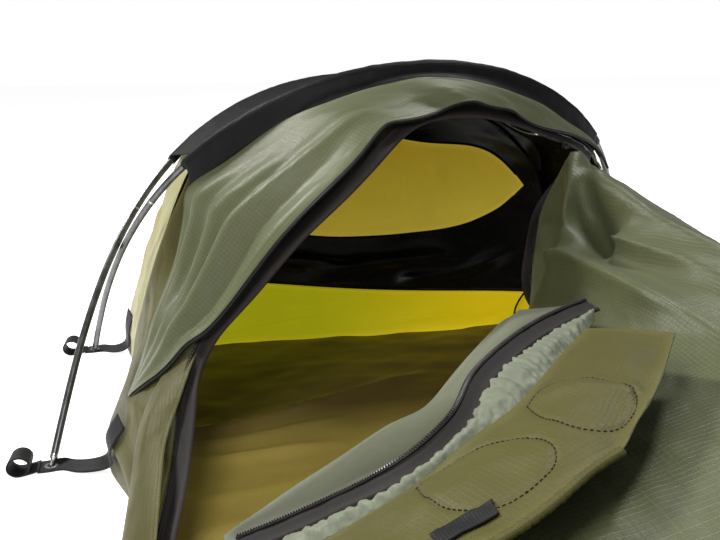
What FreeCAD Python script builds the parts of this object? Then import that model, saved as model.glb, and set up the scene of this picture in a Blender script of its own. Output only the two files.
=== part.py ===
import FreeCAD, Part
import math
import os
from FreeCAD import Vector

# Hooped bivy sack: a low one-person shelter whose head end stands on two bent poles.
# Millimetres. +Y runs from the feet to the head, +Z is up, +X is on the right of a person
# lying inside on the back. The origin is on the ground in the middle of the outline.

# ---- driving dimensions ----
HALF_LENGTH = 1175.0        # origin to the rear sleeve, and to the foot loop's outer end
TUB_HEAD_Y = 1160.0         # head edge of the groundsheet
TUB_FOOT_Y = -1110.0        # foot edge of the groundsheet
TUB_HEIGHT = 45.0           # height of the groundsheet's raised edge
HEAD_HALF_WIDTH = 404.0     # half width of the groundsheet under the hood
FOOT_HALF_WIDTH = 250.0     # half width of the groundsheet at the feet
HOOD_FRONT_Y = 860.0        # where the groundsheet starts to narrow
FOOT_HEIGHT = 132.0
CLOTH = 2.0                 # thickness that stands for each cloth panel
SEAM_GAP = 2.5              # gap left between neighbouring panels

POLE_RADIUS = 4.75          # 9.5 mm aluminium tube
POLE_BORE = 4.0
FERRULE_RADIUS = 3.95
FERRULE_BORE = 3.2
FERRULE_REACH = 35.0        # how far an insert goes into each pole
COLLAR_RADIUS = 5.2
COLLAR_HALF = 1.5
CORD_RADIUS = 1.5
FOOT_SECTION = 385.0        # length of each hoop's two lower pole sections
SLEEVE_BORE = 5.4
SLEEVE_RADIUS = 6.4
SLEEVE_START = 0.74         # share of the hoop's height where the sleeve begins
TIP_LENGTH = 16.0
TIP_PIN_RADIUS = 2.3

# Each hoop stands on its two feet and leans: half span, height, lean, foot line.
REAR_HOOP = dict(half=499.0, height=445.0, lean=412.0, foot_y=753.0)
FRONT_HOOP = dict(half=474.0, height=476.0, lean=-334.0, foot_y=1114.0)
ARCS = 7                    # tangent arcs in half a hoop

STRAP_WIDTH = 25.0
STRAP = 1.8                 # webbing thickness
EYELET_HOLE = 4.6
EYELET_RIM = 8.0
LOOP_RADIUS = 10.0          # inside radius of a peg loop
TAPE_WIDTH = 16.0           # zip tape
WALL_LINE_Y = 1065.0        # floor line of the inner head wall


# ---- solids from grids of points ----
def facet(a, b, c):
    return Part.Face(Part.makePolygon([a, b, c, a]))


def quad(a, b, c, d):
    return [facet(a, b, c), facet(a, c, d)]


def vertex_normal(grid, i, j):
    """Unit normal of a grid at one of its points."""
    along = grid[min(i + 1, len(grid) - 1)][j] - grid[max(i - 1, 0)][j]
    across = grid[i][min(j + 1, len(grid[0]) - 1)] - grid[i][max(j - 1, 0)]
    normal = along.cross(across)
    normal.normalize()
    return normal


def panel(grid, thickness=CLOTH, lift=0.0):
    """Closed sheet solid on a grid of points, from `lift` to `lift` + `thickness` off it."""
    rows, columns = len(grid), len(grid[0])
    under = []
    over = []
    for i in range(rows):
        normals = [vertex_normal(grid, i, j) for j in range(columns)]
        under.append([grid[i][j] + normals[j] * lift for j in range(columns)])
        over.append([grid[i][j] + normals[j] * (lift + thickness) for j in range(columns)])
    faces = []
    for i in range(rows - 1):
        for j in range(columns - 1):
            for skin in (under, over):
                faces += quad(skin[i][j], skin[i + 1][j], skin[i + 1][j + 1], skin[i][j + 1])
    for i in range(rows - 1):
        for j in (0, columns - 1):
            faces += quad(under[i][j], under[i + 1][j], over[i + 1][j], over[i][j])
    for j in range(columns - 1):
        for i in (0, rows - 1):
            faces += quad(under[i][j], under[i][j + 1], over[i][j + 1], over[i][j])
    shell = Part.makeShell(faces)
    shell.sewShape()
    solid = Part.makeSolid(shell)
    if solid.Volume < 0:
        solid.reverse()
    return solid


def between(start, end, share):
    return start + (end - start) * share


def ruled(first, last, steps=1, gap=SEAM_GAP):
    """Rows from one line of points to another, kept `gap` clear of both."""
    rows = []
    for k in range(steps + 1):
        row = []
        for a, b in zip(first, last):
            margin = gap / max((b - a).Length, 4 * gap)
            row.append(between(a, b, margin + (1 - 2 * margin) * k / steps))
        rows.append(row)
    return rows


def points(*triples):
    return [Vector(*t) for t in triples]


def mirrored(row):
    return [Vector(-p.x, p.y, p.z) for p in reversed(row)]


# ---- hoops: an elastic rod bent between two pinned feet ----
def rod_shape(end_angle):
    """Arcs (length, turn) from the apex to a foot of a bent rod of unit stiffness."""
    arcs = []
    slices = 40
    for k in range(ARCS):
        length = 0.0
        for m in range(slices):
            u = math.pi / 2 * (k + (m + 0.5) / slices) / ARCS
            angle = end_angle * math.sin(u)
            height = math.sqrt(2 * (math.cos(angle) - math.cos(end_angle)))
            length += end_angle * math.cos(u) / height * math.pi / 2 / ARCS / slices
        turn = end_angle * (math.sin(math.pi / 2 * (k + 1) / ARCS) - math.sin(math.pi / 2 * k / ARCS))
        arcs.append((length, turn))
    return arcs


def rod_end(arcs):
    """Where the arcs lead: distance out and down from the apex."""
    out, down, angle = 0.0, 0.0, 0.0
    for length, turn in arcs:
        chord = length * math.sin(turn / 2) / (turn / 2)
        out += chord * math.cos(angle + turn / 2)
        down += chord * math.sin(angle + turn / 2)
        angle += turn
    return out, down


def hoop_arcs(half, rise):
    """Arcs of the rod that spans 2 * half and rises by `rise` in its own plane."""
    low, high = 0.3, 2.2
    for _ in range(50):
        middle = (low + high) / 2
        out, down = rod_end(rod_shape(middle))
        if down / out > rise / half:
            high = middle
        else:
            low = middle
    arcs = rod_shape(middle)
    scale = half / rod_end(arcs)[0]
    return [(length * scale, turn) for length, turn in arcs]


class Hoop:
    """One bent pole. Stations run from -1 at the left foot to 1 at the right, by length."""

    def __init__(self, half, height, lean, foot_y):
        self.rise = math.hypot(height, lean)
        self.up = Vector(0, lean / self.rise, height / self.rise)
        self.apex = Vector(0, foot_y + lean, height)
        self.arcs = hoop_arcs(half, self.rise)
        self.reach = sum(length for length, turn in self.arcs)

    def at(self, distance):
        """Point and outward direction at a distance from the apex, right side positive."""
        side = 1 if distance >= 0 else -1
        left = abs(distance)
        out, down, angle = 0.0, 0.0, 0.0
        for length, turn in self.arcs:
            part = min(left, length)
            bend = turn * part / length
            chord = part if bend == 0 else part * math.sin(bend / 2) / (bend / 2)
            out += chord * math.cos(angle + bend / 2)
            down += chord * math.sin(angle + bend / 2)
            angle += bend
            left -= part
            if left <= 0:
                break
        point = self.apex + Vector(side * out, 0, 0) - self.up * down
        outward = Vector(side * math.sin(angle), 0, 0) + self.up * math.cos(angle)
        return point, outward

    def along(self, distance):
        """Unit direction of travel, towards the right foot."""
        point, outward = self.at(distance)
        ahead = self.up.cross(Vector(1, 0, 0)).cross(outward)
        ahead.normalize()
        return ahead if ahead.x >= 0 else ahead * -1

    def distance_at(self, share):
        """Distance from the apex where the hoop stands at a share of its height."""
        low, high = 0.0, self.reach
        for _ in range(40):
            middle = (low + high) / 2
            if self.at(middle)[0].z > share * self.apex.z:
                low = middle
            else:
                high = middle
        return low

    def path(self, start, end):
        """Wire of tangent arcs between two distances from the apex."""
        breaks = [0.0]
        for length, turn in self.arcs:
            breaks.append(breaks[-1] + length)
        marks = sorted([-b for b in breaks[1:]] + breaks)
        marks = [start] + [m for m in marks if start + 1 < m < end - 1] + [end]
        edges = []
        for a, b in zip(marks, marks[1:]):
            three = [self.at(d)[0] for d in (a, (a + b) / 2, b)]
            edges.append(Part.Arc(*three).toShape())
        return Part.Wire(edges)

    def rod(self, start, end, radius):
        section = Part.Wire(Part.makeCircle(radius, self.at(start)[0], self.along(start)))
        return self.path(start, end).makePipeShell([section], True, False)

    def tube(self, start, end, radius, bore):
        return self.rod(start, end, radius).cut(self.rod(start - 1, end + 1, bore))

    def rib(self, inset, shares):
        """Points inside the hoop by `inset`, left to right, at shares of its height."""
        right = []
        for share in shares:
            point, outward = self.at(self.distance_at(share))
            right.append(point - outward * inset)
        left = [Vector(-p.x, p.y, p.z) for p in reversed(right[1:])]
        return left + right


def build_hoop(name, hoop, parts):
    """Three pole sections, two inserts, two tips, the inner cord and the cloth sleeve."""
    foot = hoop.reach - TIP_LENGTH
    joint = hoop.reach - FOOT_SECTION
    spans = dict(left=(-foot, -joint - COLLAR_HALF), centre=(-joint + COLLAR_HALF, joint - COLLAR_HALF),
                 right=(joint + COLLAR_HALF, foot))
    for side, (start, end) in spans.items():
        parts[name + "_pole_" + side] = hoop.tube(start, end, POLE_RADIUS, POLE_BORE)
    for side, sign in (("left", -1), ("right", 1)):
        middle = sign * joint
        insert = hoop.tube(middle - FERRULE_REACH, middle + FERRULE_REACH, FERRULE_RADIUS, FERRULE_BORE)
        collar = hoop.tube(middle - COLLAR_HALF + 0.1, middle + COLLAR_HALF - 0.1, COLLAR_RADIUS,
                           FERRULE_RADIUS - 0.2)
        parts[name + "_ferrule_" + side] = insert.fuse(collar).removeSplitter()
        parts[name + "_tip_" + side] = pole_tip(hoop, sign)
    cord_end = foot - 2
    parts[name + "_shock_cord"] = hoop.rod(-cord_end, cord_end, CORD_RADIUS)
    sleeve_end = hoop.distance_at(SLEEVE_START)
    parts[name + "_sleeve"] = hoop.tube(-sleeve_end, sleeve_end, SLEEVE_RADIUS, SLEEVE_BORE)


def pole_tip(hoop, sign):
    """Plug on a pole's foot: a shoulder against the tube and a pin down through the eyelet."""
    foot, outward = hoop.at(sign * hoop.reach)
    base, outward = hoop.at(sign * (hoop.reach - TIP_LENGTH))
    down = hoop.along(sign * (hoop.reach - TIP_LENGTH)) * sign
    shoulder = Part.makeCylinder(POLE_RADIUS + 0.4, 4, base + down * 0.2, down)
    neck_top = base + down * 4.2
    cone = Part.makeCone(POLE_RADIUS, TIP_PIN_RADIUS, 4, neck_top, down)
    ball_centre = Vector(foot.x, foot.y, TIP_PIN_RADIUS + 0.2)
    leg = ball_centre - (neck_top + down * 4)
    pin = Part.makeCylinder(TIP_PIN_RADIUS, leg.Length, neck_top + down * 4, leg)
    ball = Part.makeSphere(TIP_PIN_RADIUS, ball_centre)
    return shoulder.fuse([cone, pin, ball]).removeSplitter()


# ---- groundsheet ----
def half_width(y):
    """Half width of the groundsheet at y: parallel under the hood, then tapering."""
    if y >= HOOD_FRONT_Y:
        return HEAD_HALF_WIDTH
    share = (HOOD_FRONT_Y - y) / (HOOD_FRONT_Y - TUB_FOOT_Y)
    return HEAD_HALF_WIDTH + (FOOT_HALF_WIDTH - HEAD_HALF_WIDTH) * share


def build_tub(parts):
    stations = [TUB_HEAD_Y, HOOD_FRONT_Y, TUB_FOOT_Y]
    right = [Vector(half_width(y), y, 0) for y in stations]
    outline = right + [Vector(-p.x, p.y, 0) for p in reversed(right)]
    floor_face = Part.Face(Part.makePolygon(outline + outline[:1]))
    parts["tub_floor"] = floor_face.extrude(Vector(0, 0, CLOTH))
    low = CLOTH + 0.3
    for side, sign in (("left", -1), ("right", 1)):
        foot_row = [Vector(sign * half_width(y), y, low) for y in stations]
        top_row = [Vector(sign * half_width(y), y, TUB_HEIGHT) for y in stations]
        parts["tub_wall_" + side] = panel([foot_row, top_row], CLOTH * -sign)
    for end, y, sign in (("head", TUB_HEAD_Y, -1), ("foot", TUB_FOOT_Y, 1)):
        reach = half_width(y) - CLOTH - 2
        wall = Part.makeBox(2 * reach, CLOTH, TUB_HEIGHT - low, Vector(-reach, min(y, y + sign * CLOTH), low))
        parts["tub_wall_" + end] = wall


# ---- hood ----
TOP_SHARES = (1.0, 0.975, 0.94, 0.9, 0.85, 0.8, 0.75)
PANEL_FOOT = TUB_HEIGHT + SEAM_GAP

# Left lower edges of the hood's ribs, from the ground up to the end of each sleeve.
REAR_RIB_LEFT = points((-402, 1154, PANEL_FOOT), (-386, 1132, 125), (-350, 1096, 230))
FRONT_RIB_LEFT = points((-402, 900, PANEL_FOOT), (-386, 893, 125), (-346, 880, 245))

# Free edge of the hood above the door, from the left end of the zip to the right rim.
HEM_LEFT = points((-352, 520, 62), (-338, 590, 118), (-322, 664, 177), (-255, 672, 243), (-200, 676, 300),
                  (-150, 680, 347), (-100, 684, 393))
HEM_MIDDLE = points((-45, 695, 427), (0, 710, 438), (50, 725, 428), (120, 752, 403), (175, 780, 385))
HEM_RIGHT = points((225, 806, 365), (266, 824, 345), (292, 836, 322))


def build_hood(rear, front, parts):
    rear_top = rear.rib(SLEEVE_RADIUS + 1.5, TOP_SHARES)
    front_top = front.rib(SLEEVE_RADIUS + 1.5, TOP_SHARES)
    rear_left = REAR_RIB_LEFT + rear_top[:1]
    front_left = FRONT_RIB_LEFT + front_top[:1]
    rear_right = mirrored(rear_left)
    front_right = mirrored(front_left)

    parts["top_band"] = panel(ruled(rear_top, front_top, 3))
    parts["side_panel_left"] = panel(ruled(rear_left, front_left, 2))
    seam = points((297, 820, 296), (350, 842, 200), (384, 856, 110), (402, 864, PANEL_FOOT))
    side_rows = ruled(rear_right, front_right, 2)
    side_rows += [[between(a, b, 0.8) for a, b in zip(front_right, seam)]]
    parts["side_panel_right"] = panel(side_rows)

    arch = REAR_RIB_LEFT[1:] + rear_top + mirrored(REAR_RIB_LEFT[1:])
    ground = [Vector(p.x * 1.03, TUB_HEAD_Y, PANEL_FOOT) for p in arch]
    parts["head_panel"] = panel(ruled(ground, arch, 2, 3.5))

    crest = FRONT_RIB_LEFT + front_top
    hem = HEM_LEFT + HEM_MIDDLE + HEM_RIGHT
    crest = [crest[0]] + [between(crest[0], crest[1], 0.5)] + crest[1:]
    crest = crest[:len(hem)]
    parts["hood_front"] = panel(ruled(crest, hem, 4))
    tape = [p + step for p, step in zip(hem, tape_steps(hem))]
    parts["hood_zip"] = panel(ruled(hem, tape, 1, 0.6), 1.5)


def tape_steps(hem):
    """From the hood's edge into the door opening, one tape width."""
    steps = []
    centre = Vector(40, 600, 180)
    for k, p in enumerate(hem):
        along = hem[min(k + 1, len(hem) - 1)] - hem[max(k - 1, 0)]
        inward = centre - p
        inward -= along * (inward.dot(along) / along.dot(along))
        inward.normalize()
        steps.append(inward * TAPE_WIDTH)
    return steps


# ---- inner head wall ----
def build_inner_wall(rear, parts):
    """Yellow lower wall, black liner and lens-shaped mesh window, in one leaning sheet."""
    top = rear.rib(26.0, TOP_SHARES)
    ground = [Vector(p.x * 1.22, WALL_LINE_Y, CLOTH + 1) for p in top]
    sheet = panel(ruled(ground, top, 3, 1.0))
    lower_block = wall_block([(-500, -5), (500, -5), (500, SEAM_HEIGHT_RIGHT), (-500, SEAM_HEIGHT_LEFT)])
    upper_block = wall_block([(-500, SEAM_HEIGHT_LEFT + 1), (500, SEAM_HEIGHT_RIGHT + 1), (500, 600), (-500, 600)])
    parts["head_wall_lower"] = sheet.common(lower_block)
    parts["head_liner"] = sheet.common(upper_block).cut(window_block(0.5))
    parts["vent_mesh"] = sheet.common(window_block(0.0))


SEAM_HEIGHT_LEFT = 140.0    # seam of the yellow wall and the liner, at x = -500 and x = 500
SEAM_HEIGHT_RIGHT = 26.0
WINDOW_HALF = 262.0
WINDOW_CORNER_Z = 262.0
WINDOW_LOW_Z = 166.0
WINDOW_HIGH_Z = 352.0


def wall_block(outline):
    ring = [Vector(x, WALL_LINE_Y - 200, z) for x, z in outline]
    return Part.Face(Part.makePolygon(ring + ring[:1])).extrude(Vector(0, 400, 0))


def window_block(margin):
    """Block whose outline is two arcs that meet at the window's corners."""
    corners = [Vector(s * (WINDOW_HALF + margin), WALL_LINE_Y - 200, WINDOW_CORNER_Z) for s in (-1, 1)]
    low = Vector(0, WALL_LINE_Y - 200, WINDOW_LOW_Z - margin)
    high = Vector(0, WALL_LINE_Y - 200, WINDOW_HIGH_Z + margin)
    edges = [Part.Arc(corners[0], low, corners[1]).toShape(), Part.Arc(corners[1], high, corners[0]).toShape()]
    return Part.Face(Part.Wire(edges)).extrude(Vector(0, 400, 0))


# ---- body ----
# Front edge of the body: left low side, the fold below the open door, then up the right
# side to the peak under the hood and down the closed seam.
BODY_FRONT = points((-384, 440, PANEL_FOOT), (-352, 415, 92), (-306, 388, 114), (-240, 382, 148),
                    (-134, 412, 186), (-46, 505, 188), (60, 610, 188), (112, 690, 215), (168, 765, 295),
                    (205, 760, 350), (284, 806, 296), (346, 828, 200), (381, 842, 110), (401, 850, PANEL_FOOT))
BODY_MIDDLE_Y = 250.0
BODY_MIDDLE = points((-372, BODY_MIDDLE_Y, PANEL_FOOT), (-348, BODY_MIDDLE_Y, 95), (-312, BODY_MIDDLE_Y, 135),
                     (-250, BODY_MIDDLE_Y, 182), (-150, BODY_MIDDLE_Y, 222), (-60, BODY_MIDDLE_Y, 240),
                     (20, BODY_MIDDLE_Y, 254), (90, BODY_MIDDLE_Y, 268), (150, BODY_MIDDLE_Y, 277),
                     (215, BODY_MIDDLE_Y, 268), (275, BODY_MIDDLE_Y, 225), (325, BODY_MIDDLE_Y, 160),
                     (352, BODY_MIDDLE_Y, 100), (370, BODY_MIDDLE_Y, PANEL_FOOT))
BODY_STATIONS = ((-100.0, 238.0), (-600.0, 186.0), (TUB_FOOT_Y + 6, FOOT_HEIGHT))


def body_section(y, height):
    """Rounded section of the closed body at y."""
    columns = len(BODY_MIDDLE)
    half = half_width(y) - 2
    section = []
    for k in range(columns):
        angle = math.pi * (1 - k / (columns - 1))
        across = math.copysign(abs(math.cos(angle)) ** 0.75, math.cos(angle))
        up = max(math.sin(angle), 0.0) ** 0.75
        section.append(Vector(half * across, y, PANEL_FOOT + (height - PANEL_FOOT) * up))
    return section


def build_body(parts):
    stations = [body_section(y, height) for y, height in BODY_STATIONS]
    rows = [BODY_FRONT, [between(a, b, 0.45) for a, b in zip(BODY_FRONT, BODY_MIDDLE)], BODY_MIDDLE]
    parts["body_front"] = panel(rows, -CLOTH)
    rear = [[between(a, b, 0.01) for a, b in zip(BODY_MIDDLE, stations[0])]] + stations
    parts["body_rear"] = panel(rear, -CLOTH)
    end = stations[-1]
    outline = [Vector(p.x * 0.985, TUB_FOOT_Y, max(p.z - 4, PANEL_FOOT)) for p in end]
    face = Part.Face(Part.makePolygon(outline + outline[:1]))
    parts["body_foot_panel"] = face.extrude(Vector(0, CLOTH, 0))


# ---- door flap, folded back over the body, and the storm flap along its edge ----
FOLD_LINE = points((63, 626, 200), (-46, 522, 200), (-134, 427, 199), (-247, 395, 165), (-310, 392, 132))
FLAP_EDGE = points((51, 470, 262), (-29, 407, 258), (-117, 335, 244), (-234, 344, 182), (-302, 366, 146))
STORM_NEAR = points((28, 383, 264), (-60, 320, 257), (-134, 277, 249), (-201, 275, 222), (-258, 290, 188))
STORM_FAR = points((48, 337, 284), (-27, 271, 275), (-97, 219, 265), (-181, 203, 248), (-250, 205, 216))


def build_flap(parts):
    middle = [between(a, b, 0.5) + Vector(0, 0, 6) for a, b in zip(FOLD_LINE, FLAP_EDGE)]
    parts["door_flap"] = panel([FOLD_LINE, middle, FLAP_EDGE], 1.5)
    gather = [between(a, b, 0.3) for a, b in zip(FLAP_EDGE, STORM_NEAR)]
    parts["flap_zip"] = panel(ruled(FLAP_EDGE, gather, 1, 1.5), 1.5)
    parts["flap_gather"] = panel(ruled(gather, STORM_NEAR, 1, 0.8), 1.5)
    hem = [between(a, b, 0.82) for a, b in zip(STORM_NEAR, STORM_FAR)]
    parts["storm_flap"] = panel(ruled(STORM_NEAR, hem, 1, 0.8), 1.5)
    parts["storm_flap_hem"] = panel(ruled(hem, STORM_FAR, 1, 0.5), 3.0, -1.0)


# ---- zip sliders ----
LEFT_SLIDER = Vector(-337.5, 551.6, 92.3)
LEFT_RUN = Vector(30, 144, 115)       # direction of the straight zip run above the slider
RIGHT_SLIDER = Vector(200.5, 787.7, 368.6)
RIGHT_RUN = Vector(-105, -54, 38)
PULL_HEIGHT = 5.9                     # pull's axle above the slider's sole


def build_slider(name, place, run, outward, parts):
    """A slider body astride the zip and a forked pull that hinges on its bridge."""
    along = Vector(run)
    along.normalize()
    across = along.cross(outward)
    across.normalize()
    normal = across.cross(along)
    frame = FreeCAD.Matrix(across.x, along.x, normal.x, place.x, across.y, along.y, normal.y, place.y,
                           across.z, along.z, normal.z, place.z, 0, 0, 0, 1)
    body = Part.makeBox(8, 11, 4.5, Vector(-4, -5.5, 0))
    bridge = Part.makeBox(1.6, 6, 3, Vector(-0.8, -3, 4.5))
    bridge = bridge.cut(Part.makeCylinder(0.82, 4, Vector(-2, 0, PULL_HEIGHT), Vector(1, 0, 0)))
    fork = Part.makeBox(5, 25.3, 1.4, Vector(-2.5, -24.4, PULL_HEIGHT - 0.7))
    fork = fork.cut(Part.makeBox(2.4, 6, 4, Vector(-1.2, -3.9, PULL_HEIGHT - 2)))
    axle = Part.makeCylinder(0.75, 3.4, Vector(-1.7, 0, PULL_HEIGHT), Vector(1, 0, 0))
    for label, shape in (("zip_slider_", body.fuse(bridge)), ("slider_pull_", fork.fuse(axle))):
        shape = shape.removeSplitter()
        shape.Placement = FreeCAD.Placement(frame)
        parts[label + name] = shape


# ---- webbing tabs and peg loops ----
TAB_REACH = 14.0            # webbing beyond the eyelet's centre
LOOP_TONGUE = 10.0


def build_ground_tab(name, hoop_half, y, sign, parts):
    """Webbing from the groundsheet's side to a pole foot, its eyelet, and the peg loop."""
    inner = half_width(y + STRAP_WIDTH) + 0.5
    length = hoop_half + TAB_REACH - inner
    strap = Part.makeBox(length, STRAP_WIDTH, STRAP, Vector(inner, y - STRAP_WIDTH / 2, 0))
    hole = Part.makeCylinder(EYELET_HOLE + 1.1, 10, Vector(hoop_half, y, -5))
    strap = strap.cut(hole)
    barrel = Part.makeCylinder(EYELET_HOLE + 1.0, STRAP + 0.5, Vector(hoop_half, y, 0))
    flange = Part.makeCylinder(EYELET_RIM, 0.8, Vector(hoop_half, y, STRAP + 0.02))
    eyelet = barrel.fuse(flange).cut(Part.makeCylinder(EYELET_HOLE, 10, Vector(hoop_half, y, -5)))
    start = hoop_half + TAB_REACH + 0.8
    centre = Vector(start + LOOP_TONGUE + LOOP_RADIUS, y - STRAP_WIDTH / 2, LOOP_RADIUS + STRAP + 0.1)
    across = Vector(0, 1, 0)
    ring = Part.makeCylinder(LOOP_RADIUS + STRAP, STRAP_WIDTH, centre, across)
    tongue_length = LOOP_TONGUE + LOOP_RADIUS
    tongue = Part.makeBox(tongue_length, STRAP_WIDTH, STRAP, Vector(start, y - STRAP_WIDTH / 2, 0.1))
    loop = ring.fuse(tongue).cut(Part.makeCylinder(LOOP_RADIUS, STRAP_WIDTH + 2, centre - across, across))
    loop = loop.removeSplitter()
    for label, shape in (("ground_tab_", strap), ("eyelet_", eyelet), ("peg_loop_", loop)):
        if sign < 0:
            shape = shape.mirror(Vector(0, 0, 0), Vector(1, 0, 0))
        parts[label + name] = shape


def build_foot_loop(parts):
    """Webbing at the middle of the foot edge, ending in a peg loop."""
    low = 0.1
    centre = Vector(-STRAP_WIDTH / 2, -HALF_LENGTH + LOOP_RADIUS + STRAP, LOOP_RADIUS + STRAP + low)
    across = Vector(1, 0, 0)
    ring = Part.makeCylinder(LOOP_RADIUS + STRAP, STRAP_WIDTH, centre, across)
    start = TUB_FOOT_Y - 0.8
    tongue = Part.makeBox(STRAP_WIDTH, start - centre.y, STRAP, Vector(-STRAP_WIDTH / 2, centre.y, low))
    loop = ring.fuse(tongue).cut(Part.makeCylinder(LOOP_RADIUS, STRAP_WIDTH + 2, centre - across, across))
    parts["foot_loop"] = loop.removeSplitter()


def build_tabs(parts):
    for name, hoop in (("rear", REAR_HOOP), ("front", FRONT_HOOP)):
        for side, sign in (("left", -1), ("right", 1)):
            build_ground_tab(name + "_" + side, hoop["half"], hoop["foot_y"], sign, parts)
    build_foot_loop(parts)


rear_hoop = Hoop(**REAR_HOOP)
front_hoop = Hoop(**FRONT_HOOP)
nodes = {}
build_tub(nodes)
build_hoop("rear", rear_hoop, nodes)
build_hoop("front", front_hoop, nodes)
build_hood(rear_hoop, front_hoop, nodes)
build_inner_wall(rear_hoop, nodes)
build_body(nodes)
build_flap(nodes)
build_slider("left", LEFT_SLIDER, LEFT_RUN, Vector(-0.11, -0.6, 0.79), nodes)
build_slider("right", RIGHT_SLIDER, RIGHT_RUN, Vector(0.53, -0.78, 0.34), nodes)
build_tabs(nodes)

os.makedirs("parts", exist_ok=True)
for node, shape in nodes.items():
    print(node, shape.isValid(), len(shape.Solids), round(shape.Volume), shape.BoundBox)
    shape.exportStep("parts/" + node + ".step")
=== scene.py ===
import math

import bpy
import bmesh
import numpy as np
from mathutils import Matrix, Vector, noise


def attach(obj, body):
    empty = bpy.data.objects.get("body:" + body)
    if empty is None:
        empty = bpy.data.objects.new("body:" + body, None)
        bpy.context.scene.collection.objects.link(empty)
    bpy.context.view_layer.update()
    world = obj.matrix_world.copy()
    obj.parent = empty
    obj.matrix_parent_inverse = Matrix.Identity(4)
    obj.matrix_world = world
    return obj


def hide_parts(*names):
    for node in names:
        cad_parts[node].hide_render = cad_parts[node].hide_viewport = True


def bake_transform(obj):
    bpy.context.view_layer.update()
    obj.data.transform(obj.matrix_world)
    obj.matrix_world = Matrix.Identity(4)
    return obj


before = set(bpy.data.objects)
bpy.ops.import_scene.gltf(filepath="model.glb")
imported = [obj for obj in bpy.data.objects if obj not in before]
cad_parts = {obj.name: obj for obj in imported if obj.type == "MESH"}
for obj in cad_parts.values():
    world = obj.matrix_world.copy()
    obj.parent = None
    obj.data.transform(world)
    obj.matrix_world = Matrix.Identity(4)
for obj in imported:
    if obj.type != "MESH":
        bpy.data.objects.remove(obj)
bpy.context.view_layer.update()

# Hooped bivy sack, head end up on two crossed poles, door zipped open and thrown back.
# Metres, in the frame of the CAD model: +Y runs from the feet to the head, +Z is up.

GROUND = 0.0475         # height of the groundsheet's raised edge
HEAD_HALF = 0.404
FOOT_HALF = 0.250
CLOTH = 0.0009          # cloth thickness
ZIP_TAPE = 0.0115
SLEEVE_LIFT = 0.0075    # cloth over a pole, from the pole's centre line
RIB_INSET = 0.0079      # cloth hung inside a pole, from the pole's centre line
WEBBING_WIDTH = 0.025
ROD = {"rear": {"half": 0.499, "height": 0.445, "lean": 0.412, "foot_y": 0.753},
       "front": {"half": 0.474, "height": 0.476, "lean": -0.334, "foot_y": 1.114}}
CAMERA_PLACE = (-0.332, -0.101, 0.509)
CAMERA_DOWN = 0.311     # radians below level
CAMERA_RIGHT = 0.265    # radians to the right of +Y
LENS = 36.0             # millimetres, on a sensor as wide as it is long
SKY_LIGHT = 0.14        # strength of the world as a light
SKY_SEEN = 1.0          # and as the background
GROUND_GLOW = 0.85


# ---- lines and surfaces ----
def cubic(knots, values, at):
    """Natural cubic curve through values at knots, read at the places in `at`."""
    n = len(knots)
    values = np.asarray(values, float)
    flat = values.reshape(n, -1)
    h = np.diff(knots)
    system = np.eye(n)
    right = np.zeros_like(flat)
    for i in range(1, n - 1):
        system[i, i - 1:i + 2] = h[i - 1], 2 * (h[i - 1] + h[i]), h[i]
        right[i] = 6 * ((flat[i + 1] - flat[i]) / h[i] - (flat[i] - flat[i - 1]) / h[i - 1])
    bend = np.linalg.solve(system, right)
    at = np.clip(at, knots[0], knots[-1])
    i = np.clip(np.searchsorted(knots, at, side="right") - 1, 0, n - 2)
    a = ((knots[i + 1] - at) / h[i])[:, None]
    b = 1 - a
    step = (h[i] ** 2)[:, None]
    out = a * flat[i] + b * flat[i + 1]
    out += ((a ** 3 - a) * bend[i] + (b ** 3 - b) * bend[i + 1]) * step / 6
    return out.reshape((len(at),) + values.shape[1:])


def lengths(line):
    return np.r_[0, np.cumsum(np.linalg.norm(np.diff(line, axis=0), axis=1))]


def line(points, count):
    """`count` points at even steps along a smooth line through the given ones."""
    points = np.asarray(points, float)
    knots = np.r_[0, np.cumsum(np.linalg.norm(np.diff(points, axis=0), axis=1) ** 0.6 + 1e-9)]
    fine = cubic(knots, points, np.linspace(0, knots[-1], max(200, 12 * len(points))))
    run = lengths(fine)
    even = np.linspace(0, run[-1], count)
    return np.stack([np.interp(even, run, fine[:, k]) for k in range(3)], 1)


def patch(rows, across, along, crowd=1.0):
    """Grid (across, along) of points on a smooth surface through the rows.
    A `crowd` above 1 puts more of the grid's lines near the first row."""
    rows = np.array([line(r, along) for r in rows])
    if len(rows) == 2:
        t = (np.linspace(0, 1, across) ** crowd)[:, None, None]
        return rows[0] * (1 - t) + rows[1] * t
    gap = np.linalg.norm(np.diff(rows, axis=0), axis=2).mean(1)
    knots = np.r_[0, np.cumsum(gap)]
    return cubic(knots, rows, knots[-1] * np.linspace(0, 1, across) ** crowd)


def normals(grid):
    across = np.gradient(grid, axis=0)
    along = np.gradient(grid, axis=1)
    n = np.cross(along, across)
    size = np.linalg.norm(n, axis=2, keepdims=True)
    return n / np.maximum(size, 1e-12)


def facing(grid, axis, sign=1):
    """The grid, turned over if its middle faces away from an axis, or towards it with a sign of -1."""
    middle = normals(grid)[grid.shape[0] // 2, grid.shape[1] // 2, axis]
    return grid[::-1] if middle * sign < 0 else grid


def cloth_coords(grid):
    """Distances along and across the cloth, in metres, at each point of the grid."""
    u = np.concatenate([np.zeros((grid.shape[0], 1)),
                        np.cumsum(np.linalg.norm(np.diff(grid, axis=1), axis=2), 1)], 1)
    v = np.concatenate([np.zeros((1, grid.shape[1])),
                        np.cumsum(np.linalg.norm(np.diff(grid, axis=0), axis=2), 0)], 0)
    u = u - u.mean(1, keepdims=True)
    return u, v


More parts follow.
